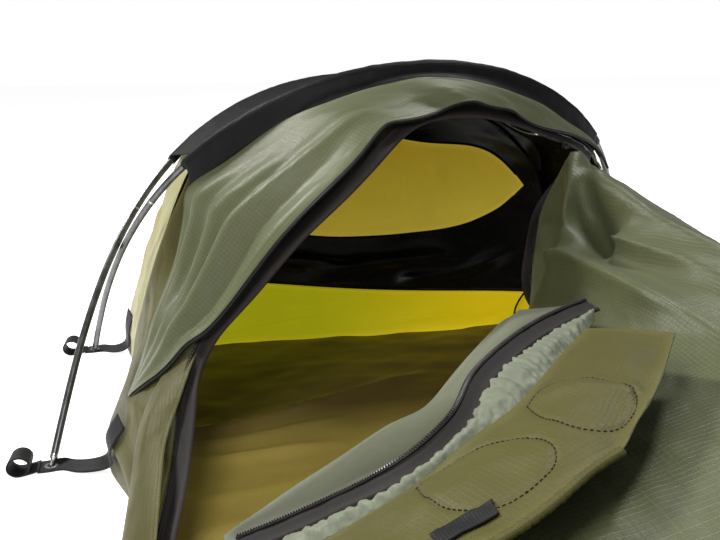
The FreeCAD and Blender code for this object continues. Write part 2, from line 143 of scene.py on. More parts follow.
def nearness(grid, path):
    """For each grid point, its distance to a path and how far along the path it is, 0 to 1."""
    path = np.asarray(path, float)
    run = lengths(path)
    best = np.full(grid.shape[:2], 1e9)
    share = np.zeros(grid.shape[:2])
    for k, (a, b) in enumerate(zip(path[:-1], path[1:])):
        d = b - a
        t = np.clip(((grid - a) @ d) / (d @ d), 0, 1)
        far = np.linalg.norm(grid - a - t[..., None] * d, axis=2)
        closer = far < best
        best = np.where(closer, far, best)
        share = np.where(closer, (run[k] + t * (run[k + 1] - run[k])) / run[-1], share)
    return best, share


def crease(grid, path, width, height, spread=1.0, start=0.15, end=0.35, sharp=False):
    """Raises a ridge along a path on the cloth; a negative height makes a valley.
    The ridge is `width` wide at its start and `spread` times that at its end."""
    far, share = nearness(grid, line(path, 24))
    wide = width * (1 + (spread - 1) * share)
    ramp = np.clip(share / start, 0, 1) * np.clip((1 - share) / end, 0, 1)
    ramp = ramp * ramp * (3 - 2 * ramp)
    away = np.sqrt((far / wide) ** 2 + 0.01) - 0.1 if sharp else (far / wide) ** 2
    return grid + normals(grid) * (height * ramp * np.exp(-away))[..., None]


def ripple(grid, size, height, seed, stretch=1.0, fixed=0.03):
    """Small uneven waves in the cloth, dying out near its edges."""
    u, v = cloth_coords(grid)
    rows, columns = u.shape
    wave = np.zeros(u.shape)
    for i in range(rows):
        for j in range(columns):
            at = Vector((u[i, j] / size / stretch, v[i, j] / size, seed * 7.3))
            wave[i, j] = noise.noise(at) + 0.45 * noise.noise(at * 2.3)
    i = np.minimum(np.arange(rows), np.arange(rows)[::-1])[:, None] / (rows * fixed + 1e-9)
    j = np.minimum(np.arange(columns), np.arange(columns)[::-1]) / (columns * fixed + 1e-9)
    hold = np.clip(i, 0, 1) * np.clip(j, 0, 1)
    return grid + normals(grid) * (wave * hold * height)[..., None]


def pleats(grid, pitch, height, seed, grow=1.0):
    """Waves whose crests run across the grid, as where elastic gathers the cloth."""
    u = cloth_coords(grid)[0]
    along = u[-1] if np.ptp(u[-1]) > np.ptp(u[0]) else u[0]
    wave = np.array([noise.noise(Vector((s / pitch, seed * 5.1, 0))) for s in along])
    wave += 0.5 * np.array([noise.noise(Vector((s / pitch * 2.1, seed * 9.1, 3))) for s in along])
    share = np.linspace(0, 1, grid.shape[0])[:, None]
    ramp = (1 - grow) + grow * share
    return grid + normals(grid) * (wave * ramp * height)[..., None]


def offset(grid, distance):
    """The grid moved along its normals."""
    return grid + normals(grid) * distance


def sag(grid, depth, direction=(0, 0, -1)):
    """Bows the middle of the cloth by `depth` along a direction."""
    rows, columns = grid.shape[:2]
    a = np.sin(np.linspace(0, math.pi, rows))[:, None]
    b = np.sin(np.linspace(0, math.pi, columns)) ** 0.7
    return grid + (a * b)[..., None] * np.asarray(direction, float) * depth


# ---- materials ----
def node(tree, kind, **inputs):
    made = tree.nodes.new("ShaderNode" + kind)
    for name, value in inputs.items():
        key = int(name[1:]) if name[0] == "i" and name[1:].isdigit() else name.replace("_", " ")
        if isinstance(value, bpy.types.NodeSocket):
            tree.links.new(value, made.inputs[key])
        else:
            made.inputs[key].default_value = value
    return made


def maths(tree, operation, a, b=0.0, c=0.0):
    made = tree.nodes.new("ShaderNodeMath")
    made.operation = operation
    for k, value in enumerate((a, b, c)):
        if isinstance(value, bpy.types.NodeSocket):
            tree.links.new(value, made.inputs[k])
        else:
            made.inputs[k].default_value = value
    return made.outputs[0]


def mixed(tree, factor, a, b, blend="MIX"):
    made = tree.nodes.new("ShaderNodeMix")
    made.data_type = "RGBA"
    made.blend_type = blend
    for key, value in ((0, factor), (6, a), (7, b)):
        if isinstance(value, bpy.types.NodeSocket):
            tree.links.new(value, made.inputs[key])
        elif key == 0:
            made.inputs[key].default_value = value
        else:
            made.inputs[key].default_value = (*value, 1)
    return made.outputs[2]


def lines_of(tree, coordinate, pitch, width):
    """1 on thin lines `pitch` apart, 0 between them."""
    saw = maths(tree, "FRACT", maths(tree, "DIVIDE", coordinate, pitch))
    off = maths(tree, "ABSOLUTE", maths(tree, "SUBTRACT", saw, 0.5))
    ramp = maths(tree, "MULTIPLY", maths(tree, "SUBTRACT", off, 0.5 - width), 1 / width)
    return maths(tree, "MAXIMUM", ramp, 0.0)


def fabric(name, colour, second, roughness=0.55, ripstop=0.0, check=0.005, weave=0.0009,
           sheen=0.25, glow=0.0, coat=0.0, patchy=0.10, depth=0.35, worn=0.25, shine=0.22):
    """Woven cloth. The mesh's `tone` attribute mixes the two colours, and `rim` marks its edges."""
    m = bpy.data.materials.new(name)
    m.use_nodes = True
    tree = m.node_tree
    tree.nodes.clear()
    out = node(tree, "OutputMaterial")
    uv = node(tree, "UVMap")
    uv.uv_map = "cloth"
    split = node(tree, "SeparateXYZ", Vector=uv.outputs[0])
    place = node(tree, "TexCoord").outputs["Object"]
    tone = node(tree, "Attribute")
    tone.attribute_name = "tone"
    rim = node(tree, "Attribute")
    rim.attribute_name = "rim"
    clouds = node(tree, "TexNoise", Vector=place, Scale=14.0, Detail=5.0, Roughness=0.6)
    fine = node(tree, "TexNoise", Vector=uv.outputs[0], Scale=420.0, Detail=3.0)
    base = mixed(tree, tone.outputs["Fac"], colour, second)
    dark = tuple(c * 0.62 for c in colour)
    pale = tuple(min(1, c * 1.35 + 0.015) for c in second)
    spots = maths(tree, "MULTIPLY", maths(tree, "SUBTRACT", clouds.outputs["Fac"], 0.42), patchy * 6)
    base = mixed(tree, maths(tree, "MAXIMUM", maths(tree, "MINIMUM", spots, 0.6), 0.0), base, dark)
    grain = maths(tree, "MULTIPLY", fine.outputs["Fac"], 0.28)
    base = mixed(tree, grain, base, dark)
    wear = maths(tree, "MULTIPLY", rim.outputs["Fac"],
                 maths(tree, "MULTIPLY", clouds.outputs["Fac"], worn * 2))
    base = mixed(tree, wear, base, pale)
    warp = maths(tree, "SINE", maths(tree, "MULTIPLY", split.outputs[0], 2 * math.pi / weave))
    weft = maths(tree, "SINE", maths(tree, "MULTIPLY", split.outputs[1], 2 * math.pi / weave))
    height = maths(tree, "MULTIPLY", maths(tree, "ADD", warp, weft), 0.12)
    if ripstop:
        one = lines_of(tree, split.outputs[0], check, 0.11)
        two = lines_of(tree, split.outputs[1], check, 0.11)
        grid = maths(tree, "MAXIMUM", one, two)
        base = mixed(tree, maths(tree, "MULTIPLY", grid, ripstop), base, pale)
        height = maths(tree, "ADD", height, grid)
    height = maths(tree, "ADD", height, maths(tree, "MULTIPLY", fine.outputs["Fac"], 0.5))
    bump = node(tree, "Bump", Strength=depth, Distance=0.0004, Height=height)
    rough = maths(tree, "ADD", maths(tree, "MULTIPLY", clouds.outputs["Fac"], 0.16), roughness - 0.08)
    shader = node(tree, "BsdfPrincipled", Base_Color=base, Roughness=rough, Normal=bump.outputs[0])
    shader.inputs["Specular IOR Level"].default_value = shine
    shader.inputs["Sheen Weight"].default_value = sheen
    shader.inputs["Sheen Roughness"].default_value = 0.4
    shader.inputs["Coat Weight"].default_value = coat
    shader.inputs["Coat Roughness"].default_value = 0.3
    # painted light: `glow` makes the cloth give out its own colour as light, in place of daylight shining
    # through it from behind
    if glow:
        tree.links.new(base, shader.inputs["Emission Color"])
        shader.inputs["Emission Strength"].default_value = glow
    tree.links.new(shader.outputs[0], out.inputs[0])
    return m


def hard(name, colour, second, metallic, roughness, scale, streak=(1, 1, 1), depth=0.15, coat=0.0):
    """Metal or moulded plastic with drawn streaks, speckle and rubbed spots."""
    m = bpy.data.materials.new(name)
    m.use_nodes = True
    tree = m.node_tree
    tree.nodes.clear()
    out = node(tree, "OutputMaterial")
    place = node(tree, "TexCoord").outputs["Object"]
    stretched = node(tree, "Mapping", Vector=place)
    stretched.inputs["Scale"].default_value = streak
    grain = node(tree, "TexNoise", Vector=stretched.outputs[0], Scale=scale, Detail=6.0, Roughness=0.65)
    speck = node(tree, "TexNoise", Vector=place, Scale=scale * 6, Detail=2.0)
    factor = maths(tree, "MULTIPLY", maths(tree, "SUBTRACT", grain.outputs["Fac"], 0.38), 3.2)
    factor = maths(tree, "MAXIMUM", maths(tree, "MINIMUM", factor, 1.0), 0.0)
    base = mixed(tree, factor, colour, second)
    base = mixed(tree, maths(tree, "MULTIPLY", speck.outputs["Fac"], 0.2), base,
                 tuple(c * 0.5 for c in colour))
    rough = maths(tree, "ADD", maths(tree, "MULTIPLY", grain.outputs["Fac"], 0.25), roughness - 0.12)
    height = maths(tree, "ADD", grain.outputs["Fac"], maths(tree, "MULTIPLY", speck.outputs["Fac"], 0.3))
    bump = node(tree, "Bump", Strength=depth, Distance=0.0004, Height=height)
    shader = node(tree, "BsdfPrincipled", Base_Color=base, Roughness=rough, Normal=bump.outputs[0])
    shader.inputs["Metallic"].default_value = metallic
    shader.inputs["Coat Weight"].default_value = coat
    tree.links.new(shader.outputs[0], out.inputs[0])
    return m


OLIVE = fabric("olive ripstop", (0.080, 0.090, 0.040), (0.125, 0.137, 0.072), ripstop=0.30,
               roughness=0.40, sheen=0.05, shine=0.26)
OLIVE_INSIDE = fabric("coated olive", (0.075, 0.083, 0.042), (0.125, 0.135, 0.080), roughness=0.42,
                      sheen=0.05, ripstop=0.05)
# KHAKI's small glow is painted light coming through the thin cloth
KHAKI = fabric("khaki nylon", (0.058, 0.053, 0.012), (0.118, 0.111, 0.032), roughness=0.5,
               ripstop=0.04, check=0.004, glow=0.03, sheen=0.04)
# BACKLIT is a paler copy of KHAKI with a stronger glow: painted backlight, for cloth lit through from behind
BACKLIT = fabric("backlit khaki nylon", (0.170, 0.155, 0.055), (0.360, 0.340, 0.170), roughness=0.5,
                 ripstop=0.04, check=0.004, glow=0.30, sheen=0.04)
BLACK = fabric("black band", (0.0035, 0.0035, 0.004), (0.009, 0.009, 0.010), roughness=0.5, sheen=0.0,
               ripstop=0.25, check=0.003, shine=0.12)
LINER = fabric("black liner", (0.003, 0.003, 0.0035), (0.010, 0.010, 0.011), roughness=0.28, sheen=0.0,
               coat=0.15, depth=0.2, shine=0.45)
# The head wall's foot is olive cloth lit through by the sun: its yellow colours and its glow are painted
# backlight.
PAINTED_BACKLIT_OLIVE = fabric("olive nylon painted yellow as backlit", (0.480, 0.470, 0.008), (0.720, 0.520, 0.006), roughness=0.42, sheen=0.02,
                glow=0.55, patchy=0.05, ripstop=0.03)
# The vent is black mesh over olive cloth lit by the sun: its golden colours and glow are painted sunlight.
PAINTED_SUNLIT_VENT = fabric("vent mesh painted gold as sunlit", (0.330, 0.215, 0.006), (0.520, 0.400, 0.040), roughness=0.55, sheen=0.02,
              glow=0.55, ripstop=0.22, check=0.0016, patchy=0.07)
# FLOOR's dark brown first colour is painted shade and its golden second colour painted sunlight, chosen by
# `tone`; its glow is painted light too.
FLOOR = fabric("groundsheet", (0.090, 0.062, 0.018), (0.600, 0.470, 0.110), roughness=0.34, sheen=0.02,
               coat=0.2, glow=0.05, ripstop=0.02, check=0.004, patchy=0.06)
LINING = fabric("flap lining", (0.045, 0.050, 0.028), (0.230, 0.255, 0.190), roughness=0.48, sheen=0.05)
TAPE = fabric("zip tape", (0.006, 0.005, 0.005), (0.026, 0.020, 0.018), roughness=0.6, weave=0.0012,
              sheen=0.03, depth=0.7)
WEBBING = fabric("webbing", (0.003, 0.003, 0.004), (0.012, 0.012, 0.013), roughness=0.6, weave=0.0022,
                 sheen=0.05, depth=1.0)
BINDING = fabric("binding", (0.003, 0.003, 0.0035), (0.010, 0.010, 0.010), roughness=0.5, weave=0.0012,
                 sheen=0.02)
# Thread for the liner's seam: real stitches whose pale colour paints the whitish glint along the seam.
THREAD_PAINTED_GLINT = fabric("thread painted as seam glint", (0.35, 0.35, 0.30), (0.55, 0.55, 0.50), roughness=0.6, weave=0.0005)
THREAD = fabric("thread", (0.090, 0.085, 0.030), (0.160, 0.150, 0.060), roughness=0.7, weave=0.0005)
DARK_THREAD = fabric("dark thread", (0.008, 0.008, 0.008), (0.02, 0.02, 0.02), roughness=0.7, weave=0.0005,
                     sheen=0.0)
POLE = hard("pole alloy", (0.085, 0.086, 0.090), (0.170, 0.172, 0.178), 0.75, 0.32, 40,
            streak=(2, 2, 0.3), coat=0.2, depth=0.05)
BRIGHT = hard("bright alloy", (0.42, 0.42, 0.43), (0.70, 0.70, 0.71), 0.95, 0.28, 220, streak=(1, 1, 4))
EYELET = hard("eyelet metal", (0.50, 0.50, 0.49), (0.80, 0.80, 0.79), 0.9, 0.25, 160)
TEETH = hard("zip teeth", (0.014, 0.012, 0.011), (0.060, 0.050, 0.044), 0.1, 0.38, 300)
SLIDER = hard("slider metal", (0.035, 0.034, 0.033), (0.16, 0.155, 0.15), 0.7, 0.34, 240)
SHOCK = fabric("shock cord", (0.02, 0.02, 0.02), (0.12, 0.12, 0.12), roughness=0.7)


# ---- meshes ----
def build(name, points, faces, materials, coords=None, tone=None, rim=None):
    """A mesh with cloth coordinates and, at each point, the `tone` and `rim` that the materials read."""
    mesh = bpy.data.meshes.new(name)
    mesh.from_pydata([tuple(p) for p in points], [], [tuple(int(k) for k in f) for f in faces])
    piece = bpy.data.objects.new(name, mesh)
    bpy.context.scene.collection.objects.link(piece)
    for m in materials:
        mesh.materials.append(m)
    count = len(points)
    coords = np.zeros((count, 2)) if coords is None else np.asarray(coords, float)
    layer = mesh.uv_layers.new(name="cloth")
    owners = np.zeros(len(mesh.loops), np.int32)
    mesh.loops.foreach_get("vertex_index", owners)
    layer.data.foreach_set("uv", coords[owners].astype(np.float32).ravel())
    for key, values in (("tone", tone), ("rim", rim)):
        values = np.zeros(count) if values is None else np.asarray(values, float).ravel()
        made = mesh.attributes.new(key, "FLOAT", "POINT")
        made.data.foreach_set("value", values.astype(np.float32))
    mesh.polygons.foreach_set("use_smooth", np.ones(len(mesh.polygons), bool))
    mesh.update()
    return piece


def tidy(piece):
    """Joins points that fell together and drops faces with no area."""
    b = bmesh.new()
    b.from_mesh(piece.data)
    bmesh.ops.remove_doubles(b, verts=b.verts, dist=2e-5)
    bmesh.ops.dissolve_degenerate(b, dist=1e-6, edges=b.edges)
    b.to_mesh(piece.data)
    b.free()


def cloth(name, grid, outer, inner=None, body="shelter", stands_for=(), finish=None,
          thickness=CLOTH, tone=0.35, lift=0.0):
    """A cloth piece over a grid of points: outer material on its outward side."""
    rows, columns = grid.shape[:2]
    u, v = cloth_coords(grid)
    k = np.arange(rows * columns).reshape(rows, columns)
    faces = np.stack([k[:-1, :-1], k[:-1, 1:], k[1:, 1:], k[1:, :-1]], -1).reshape(-1, 4)
    edge = np.minimum.reduce([np.broadcast_to(v - v[0], u.shape), v[-1] - v,
                              u - u[:, :1], u[:, -1:] - u])
    rim = np.clip(1 - edge / 0.012, 0, 1)
    tone = np.broadcast_to(np.asarray(tone, float), (rows, columns))
    points = (grid + normals(grid) * lift).reshape(-1, 3)
    piece = build(name, points, faces, [outer, inner or outer],
                  np.stack([u, v], -1).reshape(-1, 2), tone, rim)
    tidy(piece)
    wall = piece.modifiers.new("thickness", "SOLIDIFY")
    wall.thickness = thickness
    wall.offset = 0
    wall.material_offset = 1
    wall.material_offset_rim = 0
    place(piece, body, stands_for, finish)
    return piece


def place(piece, body, stands_for=(), finish=None):
    """Puts a piece on its body and in place of its CAD nodes. Its `finish` is not used."""
    if body:
        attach(piece, body)
    if stands_for:
        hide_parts(*stands_for)


def frames(path, up=(0, 0, 1)):
    """Travel, side and top directions along a path."""
    travel = np.gradient(path, axis=0)
    travel /= np.linalg.norm(travel, axis=1, keepdims=True)
    up = np.broadcast_to(np.asarray(up, float), path.shape)
    side = np.cross(travel, up)
    side /= np.maximum(np.linalg.norm(side, axis=1, keepdims=True), 1e-9)
    top = np.cross(side, travel)
    return travel, side, top


def tube(name, path, radius, material, body="shelter", sides=10, finish=None, flat=1.0, up=(0, 0, 1)):
    """A closed round cord or piping along a path."""
    path = np.asarray(path, float)
    side, top = frames(path, up)[1:]
    radius = np.broadcast_to(np.asarray(radius, float), (len(path),))
    angle = np.linspace(0, 2 * math.pi, sides, endpoint=False)
    ring = side[:, None] * np.cos(angle)[:, None] + top[:, None] * np.sin(angle)[:, None] * flat
    points = path[:, None] + ring * radius[:, None, None]
    k = np.arange(len(path) * sides).reshape(len(path), sides)
    n = np.roll(k, -1, 1)
    faces = [list(f) for f in np.stack([k[:-1], n[:-1], n[1:], k[1:]], -1).reshape(-1, 4)]
    faces += [list(k[0][::-1]), list(k[-1])]
    run = np.repeat(lengths(path), sides)
    round_it = np.tile(angle * radius.mean(), len(path))
    piece = build(name, points.reshape(-1, 3), faces, [material], np.stack([run, round_it], -1),
                  np.full(len(run), 0.3))
    place(piece, body, (), finish)
    return piece


def blocks(name, centres, axes, sizes, material, body="shelter", finish=None):
    """Many small bevelled blocks in one mesh: stitches or zip teeth."""
    corner = np.array([[x, y, z] for x in (-1, 1) for y in (-1, 1) for z in (-1, 1)], float)
    corner[:, :2] *= np.where(corner[:, 2:] > 0, 0.6, 1.0)
    quads = np.array([[0, 1, 3, 2], [4, 6, 7, 5], [0, 4, 5, 1], [2, 3, 7, 6], [0, 2, 6, 4], [1, 5, 7, 3]])
    sizes = np.broadcast_to(np.asarray(sizes, float), centres.shape)
    points = centres[:, None] + np.einsum("ck,nkd->ncd", corner, axes * sizes[..., None] / 2)
    faces = (quads[None] + np.arange(len(centres))[:, None, None] * 8).reshape(-1, 4)
    piece = build(name, points.reshape(-1, 3), faces, [material],
                  points.reshape(-1, 3)[:, :2], np.full(len(centres) * 8, 0.5))
    piece.data.polygons.foreach_set("use_smooth", np.zeros(len(piece.data.polygons), bool))
    place(piece, body, (), finish)
    return piece


def stitches(name, path, up, material=None, body="shelter", length=0.0026, gap=0.0014, finish=None,
             width=0.0007, lift=0.0006):
    """A row of thread stitches along a path."""
    path = np.asarray(path, float)
    run = lengths(path)
    count = max(3, int(run[-1] / (length + gap)))
    even = np.linspace(0, run[-1], count)
    spots = np.stack([np.interp(even, run, path[:, k]) for k in range(3)], 1)
    up = np.asarray(up, float)
    if up.ndim == 2:
        up = np.stack([np.interp(even, run, up[:, k]) for k in range(3)], 1)
    travel, side, top = frames(spots, up)
    axes = np.stack([travel, side, top], 1)
    return blocks(name, spots + top * lift, axes, (length, width, 0.0006), material or THREAD, body, finish)


def zip_strip(name, path, up, body="shelter", width=ZIP_TAPE, stands_for=(), half=0, slot="zip_tape"):
    """A zip tape with its row or rows of teeth. half: -1 or 1 for one side of an open zip."""
    path = line(path, max(40, int(lengths(np.asarray(path))[-1] / 0.006)))
    if np.ndim(up) == 2:
        up = line(up, len(path))
    travel, side, top = frames(path, up)
    share = np.linspace(-1, 1, 7)[:, None, None]
    grid = path[None] + side[None] * share * width / 2
    grid = grid + top[None] * (0.0006 * np.cos(share * math.pi * 3))
    if np.sum(normals(grid)[3] * top) < 0:
        grid = grid[::-1]
    tape = cloth(name + "_tape", ripple(grid, 0.02, 0.0006, 3, fixed=0.001), TAPE, body=body,
                 stands_for=stands_for, finish=slot, thickness=0.0008,
                 tone=np.abs(share[:, :, 0]) * 0.8)
    run = lengths(path)
    count = int(run[-1] / 0.0024)
    even = np.linspace(0.001, run[-1] - 0.001, count)
    spots, t, s, n = (np.stack([np.interp(even, run, a[:, k]) for k in range(3)], 1)
                      for a in (path, travel, side, top))
    rows = [0.40 * half] if half else [-0.08, 0.08]
    for k, shift in enumerate(rows):
        stagger = t * (0.0012 * k)
        axes = np.stack([t, s, n], 1)
        blocks(f"{name}_teeth_{k + 1}", spots + s * shift * width + stagger + n * 0.0014, axes,
               (0.0014, 0.0034, 0.0020), TEETH, body, slot)
        beside = side * (shift - 0.09 * (half or 1)) * width
        tube(f"{name}_coil_{k + 1}", path + beside + top * 0.0012, 0.0009, BINDING, body, 6, slot)
    return tape


# ---- hoops ----
def hoop(half, height, lean, foot_y, count=400):
    """Line of a springy rod bent between its two feet, left foot to right foot."""
    rise = math.hypot(height, lean)
    u = (np.arange(count) + 0.5) / count * math.pi / 2

    def trace(end):
        angle = end * np.sin(u)
        step = end * np.cos(u) / np.sqrt(2 * (np.cos(angle) - math.cos(end))) * math.pi / 2 / count
        return np.cumsum(step * np.cos(angle)), np.cumsum(step * np.sin(angle)), angle
    low, high = 0.3, 2.2
    for _ in range(50):
        middle = (low + high) / 2
        out, down, angle = trace(middle)
        low, high = (low, middle) if down[-1] / out[-1] > rise / half else (middle, high)
    scale = half / out[-1]
    up = np.array([0, lean, height]) / rise
    apex = np.array([0, foot_y + lean, height])
    right = apex + np.outer(out * scale, [1, 0, 0]) - np.outer(down * scale, up)
    outward = np.outer(np.sin(angle), [1, 0, 0]) + np.outer(np.cos(angle), up)
    flip = np.array([-1, 1, 1])
    return (np.concatenate([right[::-1] * flip, [apex], right]),
            np.concatenate([outward[::-1] * flip, [up], outward]))


def above(rod, share, lift=0.0):
    """The part of a hoop above a share of its height, moved outward by `lift`."""
    points, outward = rod
    keep = points[:, 2] > share * points[:, 2].max()
    return (points + outward * lift)[keep]


REAR = hoop(**ROD["rear"])
FRONT = hoop(**ROD["front"])
BAND_START = 0.74


def arch(rod, low_left, share=0.75, lift=-RIB_INSET):
    """A hood rib: up the left wall, over inside the hoop, and down the right wall."""
    left = np.array(low_left, float)
    top = above(rod, share, lift)
    return np.concatenate([left, top[::25], top[-1:], left[::-1] * (-1, 1, 1)])


REAR_RIB_LOW = [(-0.402, 1.154, GROUND), (-0.386, 1.132, 0.125), (-0.350, 1.096, 0.230)]
FRONT_RIB_LOW = [(-0.402, 0.900, GROUND), (-0.386, 0.893, 0.125), (-0.346, 0.880, 0.245)]
REAR_RIB = arch(REAR, REAR_RIB_LOW)


def half_width(y):
    return HEAD_HALF if y > 0.86 else HEAD_HALF + (FOOT_HALF - HEAD_HALF) * (0.86 - y) / 1.97


# ---- poles ----
for name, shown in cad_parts.items():
    material = None
    if "_pole_" in name:
        material = POLE
    elif "_ferrule_" in name or "_tip_" in name:
        material = BRIGHT
    elif "shock_cord" in name:
        material = SHOCK
    elif name.startswith("eyelet_"):
        material = EYELET
    elif "slider" in name:
        material = SLIDER
    if material:
        shown.data.materials.clear()
        shown.data.materials.append(material)


# ---- black cover over the poles ----
def side_of(end):
    """Direction square to a hoop's plane, away from the other hoop."""
    rise, lean = ROD[end]["height"], ROD[end]["lean"]
    away = np.array([0, rise, -lean]) / math.hypot(rise, lean)
    return -away if end == "front" else away


APRON = [(-0.306, 0.868, 0.316), (-0.262, 0.84, 0.351), (-0.190, 0.80, 0.406), (-0.141, 0.775, 0.430),
         (-0.082, 0.76, 0.450), (-0.038, 0.75, 0.460), (0.017, 0.75, 0.460), (0.082, 0.76, 0.447),
         (0.118, 0.77, 0.437), (0.155, 0.78, 0.424), (0.201, 0.80, 0.400), (0.251, 0.82, 0.375),
         (0.296, 0.845, 0.340)]
rear_crest = above(REAR, BAND_START, SLEEVE_LIFT)[::20]
front_crest = above(FRONT, BAND_START, SLEEVE_LIFT)[::20]
rear_back = above(REAR, BAND_START, 0.001)[::20] + side_of("rear") * 0.0085
rear_inner = above(REAR, BAND_START, 0.002)[::20] - side_of("rear") * 0.008
front_inner = above(FRONT, BAND_START, 0.003)[::20] - side_of("front") * 0.008
front_side = above(FRONT, BAND_START, 0.001)[::20] + side_of("front") * 0.0085
band_grid = patch([rear_back, rear_crest, rear_inner, front_inner, front_crest, front_side, APRON], 64, 190)
band_grid = ripple(band_grid, 0.05, 0.0010, 11, stretch=0.5, fixed=0.06)
band_grid = ripple(band_grid, 0.02, 0.0003, 12, stretch=0.6, fixed=0.04)
band_grid = facing(band_grid, 2)
cloth("cover_band", band_grid, BLACK, LINER, stands_for=["top_band"], finish="black_nylon", tone=0.4)
for end, rod in (("rear", REAR), ("front", FRONT)):
    core = line(above(rod, BAND_START - 0.004)[::10], 120)
    sleeve = tube(f"{end}_pole_sleeve", core, 0.0066, BLACK, sides=14, finish="black_nylon")
    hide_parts(f"{end}_sleeve")
apron_line = line(APRON, 260)
tube("cover_binding", apron_line + (0, -0.0008, 0.0006), 0.0017, BINDING, sides=8, finish="black_nylon")
stitches("cover_stitches", apron_line + (0, 0.004, 0.0036), (0, -0.7, 0.7), DARK_THREAD, finish="black_nylon")

# ---- storm awning over the door's zip line ----
TIP = (-0.395, 0.715, 0.100)
AWNING_TOP = [TIP, (-0.377, 0.76, 0.128), (-0.358, 0.80, 0.172), (-0.334, 0.84, 0.214), (-0.319, 0.86, 0.254),
              (-0.311, 0.87, 0.290)] + APRON
AWNING_RIM = [TIP, (-0.379, 0.70, 0.120), (-0.348, 0.68, 0.151), (-0.323, 0.668, 0.182),
              (-0.305, 0.66, 0.196), (-0.270, 0.658, 0.233), (-0.217, 0.656, 0.299),
              (-0.170, 0.656, 0.345), (-0.120, 0.675, 0.385),
              (-0.082, 0.70, 0.414), (-0.065, 0.70, 0.417), (-0.030, 0.71, 0.421), (-0.004, 0.72, 0.428),
              (0.027, 0.72, 0.436), (0.057, 0.73, 0.429), (0.092, 0.74, 0.422), (0.110, 0.75, 0.413),
              (0.152, 0.77, 0.396), (0.197, 0.79, 0.386), (0.245, 0.81, 0.371), (0.283, 0.83, 0.351),
              (0.312, 0.848, 0.322)]
awning = patch([AWNING_TOP, AWNING_RIM], 70, 230)
awning = sag(awning, -0.006, (0.45, 0.45, -0.75))


def tension_folds(grid, folds):
    """Folds that run from the first column's point across the cloth, each at its own place in the width."""
    rows, columns = grid.shape[:2]
    v = np.linspace(0, 1, rows)[:, None]
    u = np.linspace(0, 1, columns)[None]
    width = np.linalg.norm(grid[-1] - grid[0], axis=1)[None]
    lift = np.zeros((rows, columns))
    for place_v, thick, height, begin, peak, end, drift in folds:
        centre = place_v + drift * u
        ramp = np.clip((u - begin) / (peak - begin), 0, 1) * np.clip((end - u) / (end - peak), 0, 1)
        ramp = ramp * ramp * (3 - 2 * ramp)
        lift += height * ramp * np.exp(-((v - centre) / thick) ** 2)
    return grid + normals(grid) * (lift * np.minimum(width, 0.22))[..., None]


AWNING_FOLDS = [  # place in the width, thickness, height, begin, peak, end, drift
    (0.06, 0.05, 0.030, 0.00, 0.20, 0.42, 0.05),
    (0.18, 0.05, -0.030, 0.00, 0.20, 0.42, 0.05),
    (0.30, 0.06, 0.034, 0.00, 0.20, 0.46, 0.02),
    (0.43, 0.05, -0.022, 0.00, 0.22, 0.48, 0.02),
    (0.53, 0.06, 0.030, 0.00, 0.24, 0.55, 0.02),
    (0.70, 0.06, -0.075, 0.00, 0.18, 0.66, -0.12),
    (0.84, 0.06, 0.045, 0.00, 0.20, 0.55, -0.08),
    (0.95, 0.04, -0.015, 0.05, 0.30, 0.60, 0.00)]
awning = tension_folds(awning, AWNING_FOLDS)
awning = ripple(awning, 0.055, 0.0016, 21, stretch=3.0, fixed=0.10)
awning = ripple(awning, 0.02, 0.0007, 22, stretch=2.0, fixed=0.05)
v_share = np.linspace(0, 1, awning.shape[0])[:, None]
if facing(awning, 1, -1) is not awning:
    awning, v_share = awning[::-1], v_share[::-1]
cloth("hood_awning", offset(awning, 0.0035), OLIVE, LINER, stands_for=["hood_front"],
      finish="olive_ripstop", tone=0.35 + 0.3 * np.cos(v_share * 5) ** 2)
rim_line = line(AWNING_RIM, 330)
tube("awning_binding", rim_line + (0, -0.0035, 0.001), 0.0019, BINDING, sides=8, finish="black_nylon")

# ---- hood shell under the awning ----
HEM_LEFT = [(-0.384, 0.425, 0.056), (-0.372, 0.480, 0.074), (-0.357, 0.545, 0.094), (-0.345, 0.605, 0.126),
            (-0.322, 0.664, 0.177),
            (-0.262, 0.668, 0.240), (-0.205, 0.672, 0.300), (-0.155, 0.672, 0.345), (-0.105, 0.684, 0.388)]
HEM_TOP = [(-0.050, 0.716, 0.422), (0.000, 0.730, 0.431), (0.050, 0.742, 0.429), (0.115, 0.762, 0.413),
           (0.175, 0.788, 0.392), (0.228, 0.812, 0.374), (0.266, 0.830, 0.353), (0.296, 0.845, 0.325)]
SEAM_RIGHT = [(0.330, 0.842, 0.246), (0.352, 0.845, 0.195), (0.384, 0.857, 0.110), (0.403, 0.864, GROUND)]


def pulled(y):
    """How far the ground tabs pull the foot of the wall outward."""
    near = 0.036 * np.exp(-((np.asarray(y) - 0.745) / 0.095) ** 2)
    return near + 0.016 * np.exp(-((np.asarray(y) - 1.110) / 0.055) ** 2)


def tugged(grid):
    """Moves the foot of a side wall outward where the ground tabs pull on it."""
    share = np.clip(1 - grid[..., 2] / 0.15, 0, 1)
    moved = grid.copy()
    moved[..., 0] += np.sign(grid[..., 0]) * pulled(grid[..., 1]) * share
    return moved


